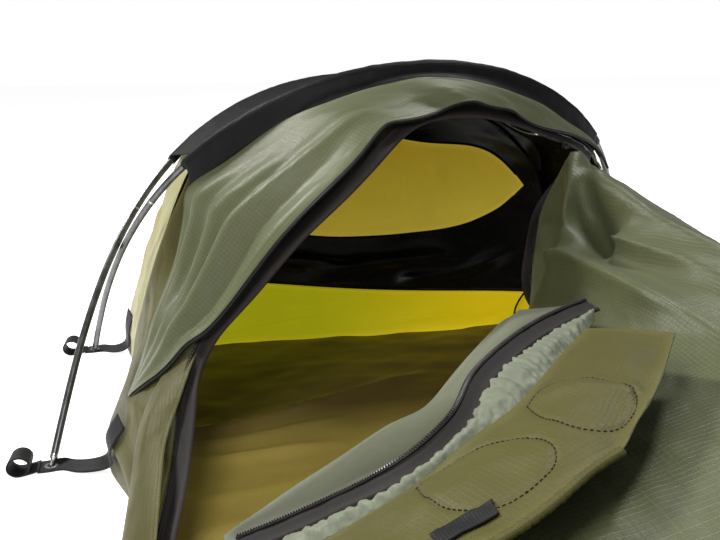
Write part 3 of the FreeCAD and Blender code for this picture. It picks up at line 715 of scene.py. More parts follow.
front_top = above(FRONT, 0.75, -RIB_INSET)
APRON_UNDER = [(x, y + 0.003, z - 0.009) for x, y, z in APRON]
UNDER_EDGE = [(-0.402, 0.735, GROUND), (-0.391, 0.740, 0.088), (-0.372, 0.768, 0.135), (-0.350, 0.812, 0.178),
              (-0.326, 0.852, 0.225), (-0.311, 0.864, 0.268), APRON_UNDER[0]]
over = patch([front_top[::20], APRON_UNDER, HEM_LEFT[5:] + HEM_TOP], 46, 150)
low_left = patch([FRONT_RIB_LOW + [tuple(front_top[0])], UNDER_EDGE, HEM_LEFT[:6]], 46, 90)
right_rib = np.concatenate([front_top[-1:], np.array(FRONT_RIB_LOW[::-1]) * (-1, 1, 1)])
RIGHT_UNDER = [APRON_UNDER[-1], (0.342, 0.858, 0.245), (0.365, 0.868, 0.180), (0.387, 0.880, 0.110),
               (0.403, 0.884, GROUND)]
low_right = patch([right_rib, RIGHT_UNDER, HEM_TOP[-1:] + SEAM_RIGHT], 46, 50)
shell = np.concatenate([low_left, over[:, 1:], low_right[:, 1:]], 1)
sinking = np.linspace(0, 1, 46)         # the cloth drops away from the awning towards its hem
if facing(shell, 2) is not shell:
    shell, sinking = shell[::-1], np.linspace(1, 0, 46)
shell = tugged(shell)
shell = ripple(shell, 0.05, 0.0030, 31, stretch=1.5, fixed=0.10)
shell = ripple(shell, 0.018, 0.0009, 32, stretch=1.0, fixed=0.05)
shell = crease(shell, [(-0.395, 0.78, 0.075), (-0.385, 0.70, 0.10), (-0.368, 0.64, 0.12)], 0.012, 0.006)
shell = crease(shell, [(-0.398, 0.75, 0.06), (-0.392, 0.64, 0.07), (-0.385, 0.56, 0.072)], 0.012, -0.005)
wall_points = [shell.reshape(-1, 3)]
cloth("hood_shell", offset(shell, -0.0035 * sinking[:, None, None]), KHAKI, LINER, finish="khaki_nylon",
      tone=np.clip(0.25 + 0.4 * np.sin(shell[..., 1] * 40), 0, 1))
hem = line(HEM_LEFT + HEM_TOP, 200)
low = np.clip((-0.26 - hem[:, :1]) / 0.05, 0, 1)
tape_path = hem + low * np.array([[0.013, -0.004, 0.002]]) + (1 - low) * np.array([[0.0035, -0.003, -0.0050]])
tape_path = line(tape_path[::8], 200)
hem_up = np.stack([np.full(200, -0.45), np.full(200, -0.75), np.full(200, 0.5)], 1)
zip_strip("hood_zip_line", tape_path[::6], hem_up[::6], stands_for=["hood_zip"], half=-1, width=0.022)

# ---- left storm strip along the zip ----
STRIP_SEAM = [(-0.332, 0.709, 0.158), (-0.357, 0.684, 0.132), (-0.379, 0.62, 0.113), (-0.389, 0.56, 0.084),
              (-0.397, 0.50, 0.063), (-0.402, 0.46, 0.052)]
STRIP_ZIP = [(-0.286, 0.692, 0.204), (-0.309, 0.666, 0.179), (-0.337, 0.615, 0.139), (-0.353, 0.575, 0.116),
             (-0.358, 0.535, 0.106), (-0.366, 0.455, 0.080)]
strip = patch([STRIP_SEAM, STRIP_ZIP], 22, 90)
strip = facing(strip, 2)
strip = sag(strip, 0.006, (-0.5, -0.3, 0.8))
strip = ripple(strip, 0.03, 0.0022, 41, stretch=1.6, fixed=0.12)
cloth("storm_strip_left", strip, KHAKI, KHAKI, finish="khaki_nylon", lift=0.002, tone=0.3)
seam = line(STRIP_SEAM, 120)
stitches("strip_seam_stitches", seam + (0.003, 0, 0.0055), (-0.6, -0.3, 0.7), finish="khaki_nylon")
stitches("strip_zip_stitches", line(STRIP_ZIP, 120) + (-0.004, 0, 0.0045), (-0.6, -0.3, 0.7),
         finish="khaki_nylon")


# ---- outer walls between the poles and behind them ----
def wall(name, rows, outer, stands_for, seed, outward, across=40, along=60, tone=0.4, folds=()):
    """An outer wall lined in black; `outward` is the way it faces."""
    grid = tugged(patch(rows, across, along)) if abs(outward[0]) == 1 else patch(rows, across, along)
    middle = normals(grid)[across // 2, along // 2]
    if middle @ np.asarray(outward, float) < 0:
        grid = grid[::-1]
    for fold in folds:
        grid = crease(grid, *fold)
    grid = ripple(grid, 0.05, 0.0032, seed, stretch=1.5, fixed=0.10)
    grid = ripple(grid, 0.017, 0.0008, seed + 1, fixed=0.05)
    wall_points.append(grid.reshape(-1, 3))
    cloth(name, grid, outer, LINER, stands_for=stands_for, finish="olive_ripstop", tone=tone)


WALL_FOLDS = [  # path on the left wall, width, height
    ([(-0.330, 1.06, 0.27), (-0.372, 1.02, 0.15), (-0.400, 1.00, 0.06)], 0.012, 0.007),
    ([(-0.325, 1.00, 0.28), (-0.365, 0.97, 0.16), (-0.398, 0.94, 0.06)], 0.014, -0.007),
    ([(-0.320, 0.93, 0.28), (-0.360, 0.92, 0.17), (-0.396, 0.90, 0.07)], 0.012, 0.006)]
for side, flip in (("left", 1), ("right", -1)):
    mirror = np.array([flip, 1, 1])
    rear_low = np.array(REAR_RIB_LOW + [tuple(p) for p in above(REAR, 0.75, -RIB_INSET)[:26:4]])
    front_low = np.array(FRONT_RIB_LOW + [tuple(p) for p in above(FRONT, 0.74, -RIB_INSET)[:26:4]])
    middle = (line(rear_low, 9) + line(front_low, 9)) / 2 + (-0.004, 0, 0)
    middle[-2:] += np.array([[0.008, 0, -0.003], [0.016, 0, -0.008]])
    folds = [(np.array(path) * mirror, wide, high) for path, wide, high in WALL_FOLDS]
    # the side walls sit near BACKLIT's paler colour: painted backlight
    wall(f"side_wall_{side}", [rear_low * mirror, middle * mirror, front_low * mirror], BACKLIT,
         [f"side_panel_{side}"], 51 + 3 * flip, (-flip, 0, 0.2), folds=folds, tone=0.85)

arch_rows = [[(-0.400, 1.158, GROUND), (0, 1.165, GROUND), (0.400, 1.158, GROUND)], REAR_RIB]
wall("head_wall_outer", arch_rows, OLIVE, ["head_panel"], 61, (0, 1, 0.1),
     across=60, along=90, tone=0.4,
     folds=[([(-0.2, 1.15, 0.36), (-0.1, 1.16, 0.2), (-0.05, 1.16, 0.06)], 0.02, 0.006),
            ([(0.2, 1.15, 0.36), (0.13, 1.16, 0.2), (0.05, 1.16, 0.06)], 0.02, -0.005)])

# ---- inner head wall: black liner, meshed window, yellow foot ----
SEAM_FLOOR = [(-0.400, 1.085, 0.003), (-0.300, 1.068, 0.003), (-0.214, 1.067, 0.003), (-0.040, 1.045, 0.003),
              (0.143, 1.030, 0.003), (0.244, 1.028, 0.003), (0.398, 1.028, 0.003)]
SEAM_BLACK = [(-0.378, 1.085, 0.137), (-0.300, 1.080, 0.125), (-0.200, 1.075, 0.113), (-0.087, 1.072, 0.096),
              (0.061, 1.072, 0.076), (0.214, 1.063, 0.064), (0.302, 1.052, 0.058), (0.390, 1.040, 0.050)]
LINER_LOW = [(-0.330, 1.068, 0.262), (-0.262, 1.090, 0.258), (-0.100, 1.115, 0.250), (0, 1.120, 0.247),
             (0.100, 1.115, 0.245), (0.262, 1.082, 0.245), (0.332, 1.066, 0.245)]
LINER_HIGH = [(-0.284, 1.062, 0.322), (-0.150, 1.130, 0.360), (0, 1.138, 0.366), (0.150, 1.130, 0.357),
              (0.284, 1.062, 0.318)]
liner = patch([SEAM_BLACK, LINER_LOW, LINER_HIGH, above(REAR, 0.78, -0.022)[::25]], 70, 130)
liner = facing(liner, 1, -1)
liner = ripple(liner, 0.05, 0.0035, 71, stretch=2.5, fixed=0.06)
for fold in ([(-0.12, 1.08, 0.115), (0.05, 1.09, 0.125), (0.22, 1.07, 0.13)],
             [(-0.25, 1.08, 0.15), (-0.1, 1.09, 0.135), (0.02, 1.08, 0.10)],
             [(0.05, 1.08, 0.09), (0.18, 1.08, 0.10), (0.30, 1.06, 0.15)]):
    liner = crease(liner, fold, 0.012, 0.010)
cloth("head_wall_liner", liner, LINER, LINER, stands_for=["head_liner"], finish="liner_nylon", tone=0.5)


def on_liner(x, z):
    """The liner's depth at a place on it."""
    flat = liner.reshape(-1, 3)
    far = (flat[:, 0] - x) ** 2 + (flat[:, 2] - z) ** 2
    near = np.argsort(far)[:6]
    weight = 1 / (far[near] + 1e-6)
    return float((flat[near, 1] * weight).sum() / weight.sum())


LENS_LOW = [(-0.290, 0, 0.262), (-0.200, 0, 0.215), (-0.100, 0, 0.182), (0, 0, 0.172), (0.100, 0, 0.174),
            (0.198, 0, 0.190), (0.262, 0, 0.222), (0.294, 0, 0.255)]
LENS_HIGH = [(-0.290, 0, 0.262), (-0.200, 0, 0.325), (-0.100, 0, 0.356), (0, 0, 0.356), (0.090, 0, 0.338),
             (0.150, 0, 0.330), (0.212, 0, 0.324), (0.250, 0, 0.303), (0.294, 0, 0.255)]
window = patch([LENS_LOW, LENS_HIGH], 40, 90)
for i in range(window.shape[0]):
    for j in range(window.shape[1]):
        window[i, j, 1] = on_liner(window[i, j, 0], window[i, j, 2]) - 0.0045
window = facing(window, 1, -1)
window = ripple(window, 0.03, 0.0025, 81, stretch=0.6, fixed=0.10)
for x in (-0.110, -0.085, -0.055, -0.030, 0.150):
    window = crease(window, [(x - 0.02, 1.11, 0.33), (x, 1.11, 0.25), (x + 0.005, 1.11, 0.19)], 0.009, 0.008)
# painted shade: the window's colour darkens towards its top and towards -X
shade = np.clip((0.30 - window[..., 2]) * 6 + window[..., 0] * 0.8 + 0.35, 0, 1)
cloth("vent_window", window, PAINTED_SUNLIT_VENT, PAINTED_SUNLIT_VENT, stands_for=["vent_mesh"], finish="vent_mesh", tone=shade)
for name, points in (("low", LENS_LOW), ("high", LENS_HIGH)):
    edge = line(points, 120)
    edge[:, 1] = [on_liner(p[0], p[2]) - 0.006 for p in edge]
    tube(f"window_piping_{name}", line(edge[::6], 160), 0.0016, BINDING, sides=8, finish="black_nylon")

corner = line([(0.300, 1.038, 0.066), (0.280, 1.028, 0.050), (0.266, 1.018, 0.028), (0.262, 1.008, 0.010),
               (0.250, 1.004, 0.004)], 60)
tube("corner_piping", corner, 0.0018, BINDING, sides=8, finish="black_nylon")
low_wall = patch([SEAM_FLOOR, SEAM_BLACK], 44, 150)
low_wall = facing(low_wall, 1, -1)
for fold in ([(-0.30, 1.07, 0.02), (-0.12, 1.06, 0.045), (0.05, 1.06, 0.055)],
             [(-0.30, 1.07, 0.045), (-0.10, 1.06, 0.07), (0.06, 1.06, 0.06)],
             [(-0.25, 1.07, 0.10), (-0.05, 1.06, 0.085), (0.08, 1.06, 0.04)],
             [(0.02, 1.06, 0.02), (0.15, 1.04, 0.03), (0.28, 1.04, 0.03)]):
    low_wall = crease(low_wall, fold, 0.008, 0.009)
low_wall = ripple(low_wall, 0.035, 0.0040, 91, stretch=2.5, fixed=0.05)
cloth("head_wall_foot", low_wall, PAINTED_BACKLIT_OLIVE, PAINTED_BACKLIT_OLIVE, stands_for=["head_wall_lower"], finish="yellow_nylon",
      tone=np.clip((low_wall[..., 0] + 0.10) * 3.2, 0, 1))
seam_line = line(SEAM_BLACK, 200) + (0, -0.003, 0)
tube("head_wall_piping", seam_line, 0.0018, LINER, sides=8, finish="black_nylon")
# these stitches' pale colour is a painted glint along the seam
stitches("head_wall_stitches", seam_line + (0, -0.0016, -0.003), (0, -1, 0.2), THREAD_PAINTED_GLINT,
         finish="black_nylon")

# ---- floor and groundsheet sides ----
stations = np.linspace(1.158, -1.108, 14)
left_edge = [(-half_width(y) + 0.002, y, 0.004) for y in stations]
right_edge = [(half_width(y) - 0.002, y, 0.004) for y in stations]
floor_grid = patch([left_edge, [((a[0] + b[0]) / 2, a[1], 0.004) for a, b in zip(left_edge, right_edge)],
                    right_edge], 110, 420)
floor_grid = facing(floor_grid, 2)
for fold, wide, high in (
        ([(-0.38, 0.762, 0), (-0.22, 0.785, 0), (-0.05, 0.840, 0), (0.08, 0.89, 0)], 0.009, 0.022),
        ([(-0.38, 0.735, 0), (-0.24, 0.742, 0), (-0.10, 0.775, 0)], 0.008, 0.018),
        ([(-0.38, 0.705, 0), (-0.24, 0.700, 0), (-0.12, 0.715, 0)], 0.008, 0.018),
        ([(-0.36, 0.620, 0), (-0.20, 0.630, 0), (-0.05, 0.680, 0)], 0.016, 0.009),
        ([(-0.34, 0.560, 0), (-0.22, 0.580, 0), (-0.12, 0.630, 0)], 0.014, 0.008)):
    floor_grid = crease(floor_grid, fold, wide, high, start=0.05, sharp=True)
floor_grid = ripple(floor_grid, 0.09, 0.0030, 101, stretch=0.6, fixed=0.02)
floor_grid[..., 2] = np.maximum(floor_grid[..., 2], 0.0012)
# painted light: `lit` paints sunlight on the floor nearer than Y 0.70 and shade towards the head end, past Y
# 0.80
lit = np.clip((0.80 - floor_grid[..., 1]) / 0.10, 0, 1) * 0.85 + 0.05
cloth("groundsheet_floor", floor_grid, FLOOR, FLOOR, stands_for=["tub_floor"], finish="groundsheet", tone=lit)

side_y = np.linspace(1.156, -1.106, 60)
for side, flip in (("left", -1), ("right", 1)):
    top = [(flip * half_width(y), y, GROUND) for y in side_y]
    low = [(flip * half_width(y), y, 0.0025) for y in side_y]
    grid = tugged(patch([low, top], 14, 330))
    grid = facing(grid, 0, flip)
    grid = ripple(grid, 0.03, 0.0020, 111 + flip, stretch=1.5, fixed=0.04)
    wall_points.append(grid.reshape(-1, 3))
    cloth(f"tub_side_{side}", grid, KHAKI, FLOOR, stands_for=[f"tub_wall_{side}"],
          finish="groundsheet", tone=0.3)
for end, y, half, bulge in (("head", 1.158, HEAD_HALF, 0.004), ("foot", -1.108, FOOT_HALF, -0.004)):
    low = [(-half, y, 0.0025), (0, y + bulge, 0.0025), (half, y, 0.0025)]
    top = [(-half, y, GROUND), (0, y + bulge * 1.5, GROUND), (half, y, GROUND)]
    grid = patch([low, top], 12, 90)
    grid = facing(grid, 1, y)
    grid = ripple(grid, 0.03, 0.0018, 121, stretch=1.5, fixed=0.05)
    cloth(f"tub_end_{end}", grid, OLIVE, FLOOR, stands_for=[f"tub_wall_{end}"],
          finish="groundsheet", tone=0.3)

# ---- body ----
PEAK = (0.205, 0.760, 0.350)
BODY_FRONT = [(-0.384, 0.440, GROUND), (-0.352, 0.415, 0.092), (-0.306, 0.388, 0.114), (-0.240, 0.382, 0.148),
              (-0.134, 0.412, 0.186), (-0.046, 0.505, 0.188), (0.060, 0.610, 0.188), (0.112, 0.690, 0.215),
              (0.165, 0.765, 0.295), PEAK, (0.262, 0.795, 0.318), (0.300, 0.825, 0.285),
              (0.346, 0.832, 0.200), (0.381, 0.845, 0.110), (0.402, 0.852, GROUND)]
BODY_QUARTER = [(-0.378, 0.345, GROUND), (-0.350, 0.330, 0.094), (-0.309, 0.318, 0.125),
                (-0.245, 0.310, 0.168), (-0.145, 0.320, 0.206), (-0.055, 0.350, 0.218),
                (0.045, 0.400, 0.228), (0.105, 0.450, 0.245),
                (0.160, 0.500, 0.280), (0.212, 0.520, 0.300), (0.262, 0.530, 0.285), (0.305, 0.540, 0.235),
                (0.345, 0.548, 0.170), (0.370, 0.552, 0.105), (0.385, 0.556, GROUND)]
BODY_MIDDLE = [(-0.372, 0.250, GROUND), (-0.348, 0.250, 0.095), (-0.312, 0.250, 0.135),
               (-0.250, 0.250, 0.182), (-0.150, 0.250, 0.222), (-0.060, 0.250, 0.240),
               (0.020, 0.250, 0.254), (0.090, 0.250, 0.268),
               (0.150, 0.250, 0.277), (0.215, 0.250, 0.268), (0.275, 0.250, 0.225), (0.325, 0.250, 0.160),
               (0.352, 0.250, 0.100), (0.364, 0.250, 0.072), (0.370, 0.250, GROUND)]


def station(y, height):
    half = half_width(y)
    angle = np.linspace(math.pi, 0, 15)
    return [(half * math.copysign(abs(math.cos(a)) ** 0.75, math.cos(a)), y,
             GROUND + (height - GROUND) * abs(math.sin(a)) ** 0.75) for a in angle]


rows = [BODY_FRONT, BODY_QUARTER, BODY_MIDDLE, station(-0.100, 0.238), station(-0.600, 0.186),
        station(-1.104, 0.132)]
body = patch(rows, 250, 230, crowd=1.6)
body = facing(body, 2)
BODY_FOLDS = [  # path, width, height, spread
    ([PEAK, (0.182, 0.711, 0.316), (0.158, 0.685, 0.280), (0.133, 0.662, 0.246)], 0.012, 0.014, 1.4),
    ([(0.130, 0.680, 0.235), (0.133, 0.655, 0.246), (0.134, 0.585, 0.252), (0.128, 0.520, 0.255),
      (0.120, 0.440, 0.256), (0.119, 0.300, 0.265)], 0.014, 0.016, 1.8),
    ([(0.202, 0.730, 0.337), (0.200, 0.690, 0.326), (0.200, 0.630, 0.313), (0.196, 0.560, 0.302),
      (0.196, 0.480, 0.294), (0.200, 0.300, 0.280)], 0.011, 0.013, 2.0),
    ([(0.160, 0.610, 0.284), (0.170, 0.540, 0.284), (0.174, 0.450, 0.286), (0.175, 0.33, 0.28)],
     0.011, 0.010, 1.6),
    ([(0.192, 0.720, 0.324), (0.170, 0.660, 0.296), (0.156, 0.590, 0.272), (0.152, 0.520, 0.270),
      (0.150, 0.420, 0.270)], 0.014, -0.016, 1.6),
    ([PEAK, (0.246, 0.640, 0.300), (0.275, 0.480, 0.250), (0.300, 0.250, 0.190)], 0.012, -0.009, 2.6)]
for path, wide, high, spread in BODY_FOLDS:
    body = crease(body, path, wide, high * 1.8, spread, start=0.06, end=0.5, sharp=high > 0)
body = ripple(body, 0.12, 0.0040, 131, stretch=0.7, fixed=0.04)
body = ripple(body, 0.035, 0.0016, 132, stretch=0.7, fixed=0.03)
cloth("body_shell", body, OLIVE, OLIVE_INSIDE, stands_for=["body_front", "body_rear"],
      finish="olive_ripstop", tone=0.30)
foot_low = [(-FOOT_HALF, -1.106, GROUND), (0, -1.108, GROUND), (FOOT_HALF, -1.106, GROUND)]
foot_grid = patch([foot_low, station(-1.106, 0.132)], 16, 90)
foot_grid = facing(foot_grid, 1, -1)
foot_grid = ripple(foot_grid, 0.03, 0.0018, 141, fixed=0.06)
cloth("body_foot", foot_grid, OLIVE, OLIVE_INSIDE, stands_for=["body_foot_panel"], finish="olive_ripstop")

# ---- door flap, thrown back over the body with its lining up ----
FOLD = [(0.063, 0.626, 0.200), (0.002, 0.566, 0.205), (-0.051, 0.512, 0.205), (-0.098, 0.461, 0.203),
        (-0.134, 0.427, 0.200), (-0.163, 0.417, 0.197), (-0.203, 0.403, 0.186), (-0.247, 0.395, 0.168),
        (-0.281, 0.392, 0.150), (-0.310, 0.392, 0.132)]
FLAP_MIDDLE = [(0.070, 0.548, 0.232), (0.009, 0.500, 0.240), (-0.040, 0.453, 0.242), (-0.087, 0.411, 0.240),
               (-0.124, 0.377, 0.234), (-0.160, 0.360, 0.222), (-0.204, 0.356, 0.202), (-0.245, 0.361, 0.178),
               (-0.280, 0.372, 0.157), (-0.310, 0.378, 0.138)]
ZIP_UPPER = [(0.060, 0.480, 0.262), (0.005, 0.454, 0.263), (-0.041, 0.426, 0.261), (-0.083, 0.394, 0.257),
             (-0.111, 0.370, 0.252), (-0.133, 0.341, 0.245), (-0.155, 0.327, 0.236), (-0.180, 0.320, 0.224),
             (-0.204, 0.324, 0.210), (-0.237, 0.341, 0.184), (-0.270, 0.355, 0.162), (-0.305, 0.368, 0.142)]
LIP = [(0.063, 0.614, 0.188), (0.002, 0.553, 0.188), (-0.051, 0.500, 0.188), (-0.098, 0.449, 0.187),
       (-0.134, 0.412, 0.186), (-0.163, 0.404, 0.178), (-0.203, 0.392, 0.166), (-0.247, 0.384, 0.147),
       (-0.281, 0.386, 0.130), (-0.310, 0.389, 0.114)]
lip_grid = patch([LIP, FOLD], 8, 150)
lip_grid = facing(lip_grid, 1, -1)
lip = cloth("door_flap_lip", lip_grid, OLIVE, LINING, body=None, finish="olive_ripstop", tone=0.30)
flap = patch([FOLD, FLAP_MIDDLE, ZIP_UPPER], 46, 150)
flap = facing(flap, 2)
flap = crease(flap, [(0.05, 0.60, 0.21), (-0.02, 0.50, 0.23), (-0.10, 0.39, 0.24)], 0.020, 0.006)
flap = crease(flap, [(0.0, 0.53, 0.23), (-0.06, 0.46, 0.24), (-0.16, 0.35, 0.22)], 0.014, -0.005)
flap = ripple(flap, 0.05, 0.0024, 151, stretch=1.6, fixed=0.05)
# painted highlight and shade: the lining is lightest in a band about a sixth of the way across, darkening
# towards its last row and towards -X
door = cloth("door_flap_lining", flap, LINING, OLIVE, body=None, stands_for=["door_flap"],
             finish="flap_lining",
             tone=np.clip(1.1 - np.abs(np.linspace(-0.2, 1.0, 46))[:, None] * 1.1, 0, 1)
             * (1 - 0.75 * np.clip(0.05 - flap[..., 0], 0, 0.3) / 0.3))
ZIP_LOWER = [(0.051, 0.462, 0.260), (0.005, 0.438, 0.260), (-0.041, 0.411, 0.258), (-0.081, 0.383, 0.255),
             (-0.110, 0.357, 0.250), (-0.127, 0.337, 0.243), (-0.150, 0.320, 0.233), (-0.178, 0.311, 0.220),
             (-0.206, 0.312, 0.205), (-0.237, 0.328, 0.181), (-0.270, 0.342, 0.159), (-0.303, 0.356, 0.140)]
zip_mid = (line(ZIP_UPPER, 60) + line(ZIP_LOWER, 60)) / 2 + (0, 0, 0.003)
zip_strip("flap_zip_line", zip_mid, (0.1, -0.25, 1.0), body="door_flap", stands_for=["flap_zip"],
          half=1, width=0.021)
GATHER_LOW = [(0.047, 0.452, 0.257), (0.016, 0.418, 0.256), (-0.023, 0.386, 0.255), (-0.060, 0.354, 0.253),
              (-0.090, 0.330, 0.250), (-0.112, 0.318, 0.246), (-0.144, 0.309, 0.236), (-0.172, 0.300, 0.222),
              (-0.206, 0.298, 0.204), (-0.238, 0.310, 0.180), (-0.272, 0.322, 0.158), (-0.300, 0.335, 0.140)]
gather_crown = (line(ZIP_LOWER, 12) + line(GATHER_LOW, 12)) / 2 + (0, 0, 0.006)
gather = patch([ZIP_LOWER, gather_crown, GATHER_LOW], 22, 260)
gather = facing(gather, 2)
gather = pleats(gather, 0.0075, 0.0021, 161, grow=0.2)
gather = ripple(gather, 0.010, 0.0016, 162, stretch=0.6, fixed=0.10)
cloth("flap_gathered_strip", gather, LINING, LINING, body="door_flap", stands_for=["flap_gather"],
      finish="flap_lining", tone=0.75)

# ---- khaki storm flap, folded out beyond the zip ----
STORM_NEAR = [(0.022, 0.424, 0.259), (-0.026, 0.384, 0.257), (-0.062, 0.352, 0.255), (-0.091, 0.328, 0.252),
              (-0.113, 0.316, 0.248), (-0.145, 0.306, 0.238), (-0.172, 0.298, 0.224), (-0.206, 0.296, 0.206),
              (-0.240, 0.300, 0.186), (-0.266, 0.305, 0.170)]
STORM_MIDDLE = [(0.034, 0.382, 0.274), (-0.005, 0.338, 0.276), (-0.048, 0.303, 0.275), (-0.082, 0.276, 0.269),
                (-0.108, 0.262, 0.263), (-0.142, 0.255, 0.254), (-0.172, 0.250, 0.243),
                (-0.206, 0.246, 0.228), (-0.236, 0.250, 0.212), (-0.262, 0.258, 0.196)]
STORM_FAR = [(0.046, 0.340, 0.286), (0.008, 0.300, 0.283), (-0.032, 0.262, 0.279), (-0.060, 0.240, 0.274),
             (-0.080, 0.224, 0.270), (-0.107, 0.215, 0.266), (-0.132, 0.204, 0.261), (-0.164, 0.194, 0.253),
             (-0.205, 0.192, 0.240), (-0.250, 0.205, 0.218)]
storm = patch([STORM_NEAR, STORM_MIDDLE, STORM_FAR], 46, 170)
storm = facing(storm, 2)
storm = ripple(storm, 0.045, 0.0040, 171, stretch=1.2, fixed=0.08)
storm = crease(storm, [(-0.03, 0.27, 0.278), (-0.06, 0.30, 0.27), (-0.09, 0.32, 0.255)], 0.010, 0.004)


def on_storm(corners, count=60):
    """A closed stitched outline lying on the storm flap."""
    loop = line(list(corners) + [corners[0]], count * 4)
    flat = storm.reshape(-1, 3)
    up = normals(storm).reshape(-1, 3)
    near = [int(np.argmin(((flat[:, :2] - p[:2]) ** 2).sum(1))) for p in loop]
    loop[:, 2] = flat[near, 2] + 0.0028
    return loop, up[near]


PATCHES = {
    "wide": [(-0.095, 0.313, 0), (-0.067, 0.330, 0), (-0.050, 0.318, 0), (-0.036, 0.280, 0),
             (-0.050, 0.256, 0), (-0.070, 0.247, 0), (-0.088, 0.256, 0), (-0.098, 0.285, 0)],
    "narrow": [(-0.188, 0.285, 0), (-0.150, 0.292, 0), (-0.118, 0.270, 0), (-0.115, 0.240, 0),
               (-0.135, 0.222, 0), (-0.165, 0.222, 0), (-0.188, 0.245, 0)]}
for corners in PATCHES.values():
    outline = on_storm(corners)[0] - (0, 0, 0.0028)
    far = nearness(storm, outline)[0]
    storm = storm + normals(storm) * (-0.0016 * np.exp(-(far / 0.0022) ** 2))[..., None]
storm_piece = cloth("storm_flap_cloth", storm, KHAKI, KHAKI, body=None, stands_for=["storm_flap"],
                    finish="khaki_nylon", tone=0.42, lift=0.002)
hem_path = line(STORM_FAR[4:], 200) + (0, 0, 0.001)
bumps = np.array([noise.noise(Vector((k * 0.55, 2.2, 0))) for k in range(200)])
elastic_hem = tube("storm_flap_elastic_hem", hem_path + (0, 0, 0.0015), 0.0034 * (1 + 0.30 * bumps), KHAKI,
                   body="storm_flap", sides=12, finish="khaki_nylon", flat=0.75)
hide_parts("storm_flap_hem")
patch_rows = []
for name, corners in PATCHES.items():
    loop, up = on_storm(corners)
    patch_rows.append(stitches(f"patch_stitches_{name}", loop, up, DARK_THREAD, body=None,
                               finish="khaki_nylon", lift=0.0004))
tab_grid = patch([[(-0.204, 0.220, 0), (-0.184, 0.224, 0), (-0.163, 0.226, 0)],
                  [(-0.202, 0.206, 0), (-0.184, 0.210, 0), (-0.165, 0.213, 0)]], 8, 24)
for i in range(tab_grid.shape[0]):
    for j in range(tab_grid.shape[1]):
        d = ((storm[..., :2] - tab_grid[i, j, :2]) ** 2).sum(-1)
        tab_grid[i, j, 2] = storm.reshape(-1, 3)[int(np.argmin(d)), 2] + 0.0045
tab_grid = facing(tab_grid, 2)
cloth("storm_flap_tab", tab_grid, WEBBING, WEBBING, body="storm_flap", finish="webbing", thickness=0.0016)

# ---- the open door's other zip half, hanging from the peak ----
FLAP_ZIP_HANG = [(0.205, 0.757, 0.350), (0.186, 0.768, 0.322), (0.160, 0.770, 0.285), (0.128, 0.730, 0.245),
                 (0.104, 0.690, 0.212), (0.104, 0.668, 0.190), (0.120, 0.655, 0.170)]
zip_strip("body_zip_line", FLAP_ZIP_HANG, (-0.7, -0.6, 0.1), half=-1, width=0.013)

# ---- ground tabs, pole foot straps and peg loops ----
def wall_x(y, z):
    """How far out the outer wall stands at a place low down on it."""
    near = np.hypot(outside[:, 1] - y, outside[:, 2] - z) < 0.010
    return float(np.abs(outside[near, 0]).max()) if near.any() else half_width(y)


def strap(name, path, side, body, stands_for=(), thickness=0.0017, count=60):
    """Webbing along a path; `side` is its cross direction at each point."""
    path = line(path, count)
    side = line(side, count)
    side /= np.linalg.norm(side, axis=1, keepdims=True)
    grid = np.stack([path + side * s * WEBBING_WIDTH / 2 for s in np.linspace(-1, 1, 9)])
    return cloth(name, grid, WEBBING, WEBBING, body=body, stands_for=stands_for, finish="webbing",
                 thickness=thickness, tone=0.4)


for place_name, rod in ROD.items():
    half, y = rod["half"], rod["foot_y"]
    for side_name, flip in (("left", -1), ("right", 1)):
        tag = f"{place_name}_{side_name}"
        outside = np.concatenate([g[g[:, 0] * flip > 0.3] for g in wall_points])
        climb = [(0.085, -0.063), (0.050, -0.053), (0.020, -0.036)]
        start = [(flip * (wall_x(y + back, z) + 0.0025), y + back, z) for z, back in climb]
        strap(f"foot_strap_{tag}",
              start + [(flip * (half - 0.030), y - 0.012, 0.0040), (flip * (half - 0.014), y, 0.0020),
                       (flip * half, y, 0.0016), (flip * (half + 0.0148), y, 0.0016)],
              [(0.30 * flip, 0.88, 0.35), (0.22 * flip, 0.9, 0.30), (0.15 * flip, 0.95, 0.15), (0, 1, 0.05),
               (0, 1, 0), (0, 1, 0), (0, 1, 0)],
              "shelter", [f"ground_tab_{tag}"])
        centre = flip * (half + 0.0348)
        angle = np.linspace(-0.5 * math.pi, 1.38 * math.pi, 26)
        ring = [(centre + flip * 0.0112 * math.cos(a) * 1.12, y + 0.002 * math.sin(a),
                 0.0125 + 0.0112 * math.sin(a)) for a in angle]
        path = [(flip * (half + 0.0128), y, 0.0040), (flip * (half + 0.022), y, 0.0018)] + ring
        strap(f"peg_strap_{tag}", path, [(0, 1, 0), (0, 1, 0), (0.1, 1, 0.05), (0, 1, 0)],
              f"peg_loop_{tag}", [f"peg_loop_{tag}"], count=90)

angle = np.linspace(-0.5 * math.pi, 1.45 * math.pi, 26)
ring = [(0, -1.1632 - 0.0108 * math.cos(a), 0.0119 + 0.0108 * math.sin(a)) for a in angle]
strap("foot_end_loop", [(0, -1.111, 0.016), (0, -1.130, 0.006), (0, -1.148, 0.0016)] + ring,
      [(1, 0, 0), (1, 0, 0)], "shelter", ["foot_loop"], count=100)

# ---- door and storm flap pieces, their placing baked into their points ----
for place_name, long in (("rear", 0.178), ("front", 0.161)):
    for side_name in ("left", "right"):
        tag = f"{place_name}_{side_name}"
for piece in (door, lip):
    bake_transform(piece)
for piece in (storm_piece, *patch_rows):
    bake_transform(piece)

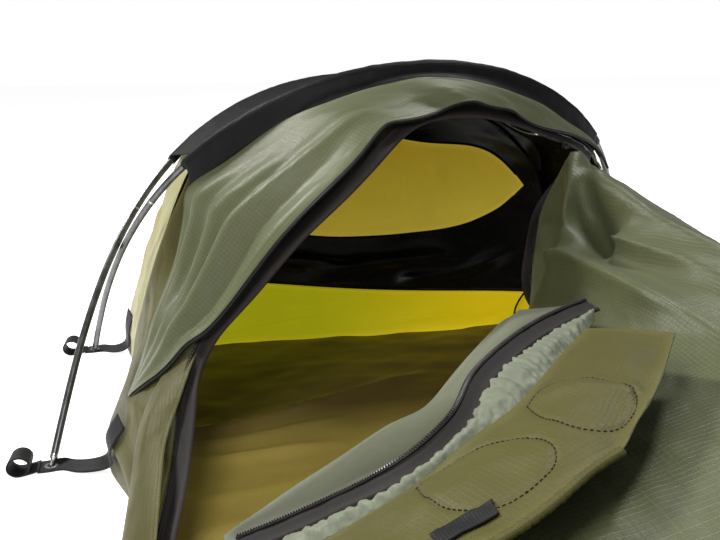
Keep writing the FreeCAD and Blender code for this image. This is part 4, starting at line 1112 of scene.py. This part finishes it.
# ---- camera, light and ground ----
stage_mesh = bpy.data.meshes.new("ground")
REACH, LOW = 9, -0.0005
corners = [(x, y, LOW) for x, y in ((-REACH, -REACH), (REACH, -REACH), (REACH, REACH), (-REACH, REACH))]
stage_mesh.from_pydata(corners, [], [(0, 1, 2, 3)])
ground = bpy.data.objects.new("ground", stage_mesh)
bpy.context.scene.collection.objects.link(ground)
pale = bpy.data.materials.new("pale ground")
pale.use_nodes = True
surface = pale.node_tree.nodes["Principled BSDF"].inputs
surface["Base Color"].default_value = (0.92, 0.92, 0.92, 1)
surface["Roughness"].default_value = 0.9
surface["Emission Color"].default_value = (1, 1, 1, 1)
surface["Emission Strength"].default_value = GROUND_GLOW
stage_mesh.materials.append(pale)

camera_data = bpy.data.cameras.new("camera")
camera_data.lens = LENS
camera_data.sensor_width = LENS
camera_data.clip_start = 0.01
camera = bpy.data.objects.new("camera", camera_data)
camera.location = CAMERA_PLACE
camera.rotation_euler = (math.pi / 2 - CAMERA_DOWN, 0, -CAMERA_RIGHT)
bpy.context.scene.collection.objects.link(camera)
bpy.context.scene.camera = camera

world = bpy.data.worlds.new("sky")
world.use_nodes = True
sky = world.node_tree
looked_at = sky.nodes.new("ShaderNodeLightPath").outputs["Is Camera Ray"]
sky.nodes["Background"].inputs["Color"].default_value = (1.0, 1.0, 1.0, 1)
strength = maths(sky, "MULTIPLY_ADD", looked_at, SKY_SEEN - SKY_LIGHT, SKY_LIGHT)
sky.links.new(strength, sky.nodes["Background"].inputs["Strength"])
bpy.context.scene.world = world
bpy.context.scene.view_settings.view_transform = "Standard"


def lamp(name, where, aim, size, power, colour=(1, 1, 1)):
    data = bpy.data.lights.new(name, "AREA")
    data.size = size
    data.energy = power
    data.color = colour
    made = bpy.data.objects.new(name, data)
    made.location = where
    made.rotation_euler = (Vector(aim) - Vector(where)).to_track_quat("-Z", "Y").to_euler()
    bpy.context.scene.collection.objects.link(made)


lamp("sun side", (-1.9, 2.3, 2.4), (0.0, 0.7, 0.2), 0.6, 100, (1.0, 0.985, 0.95))
lamp("top light", (1.0, 1.5, 2.6), (0.1, 0.5, 0.25), 0.4, 40)
lamp("front fill", (-1.6, -1.8, 2.2), (0.0, 0.6, 0.2), 1.8, 9)
lamp("door light", (-0.45, 0.15, 0.75), (0.0, 1.0, 0.12), 0.25, 3.4, (1.0, 0.97, 0.92))
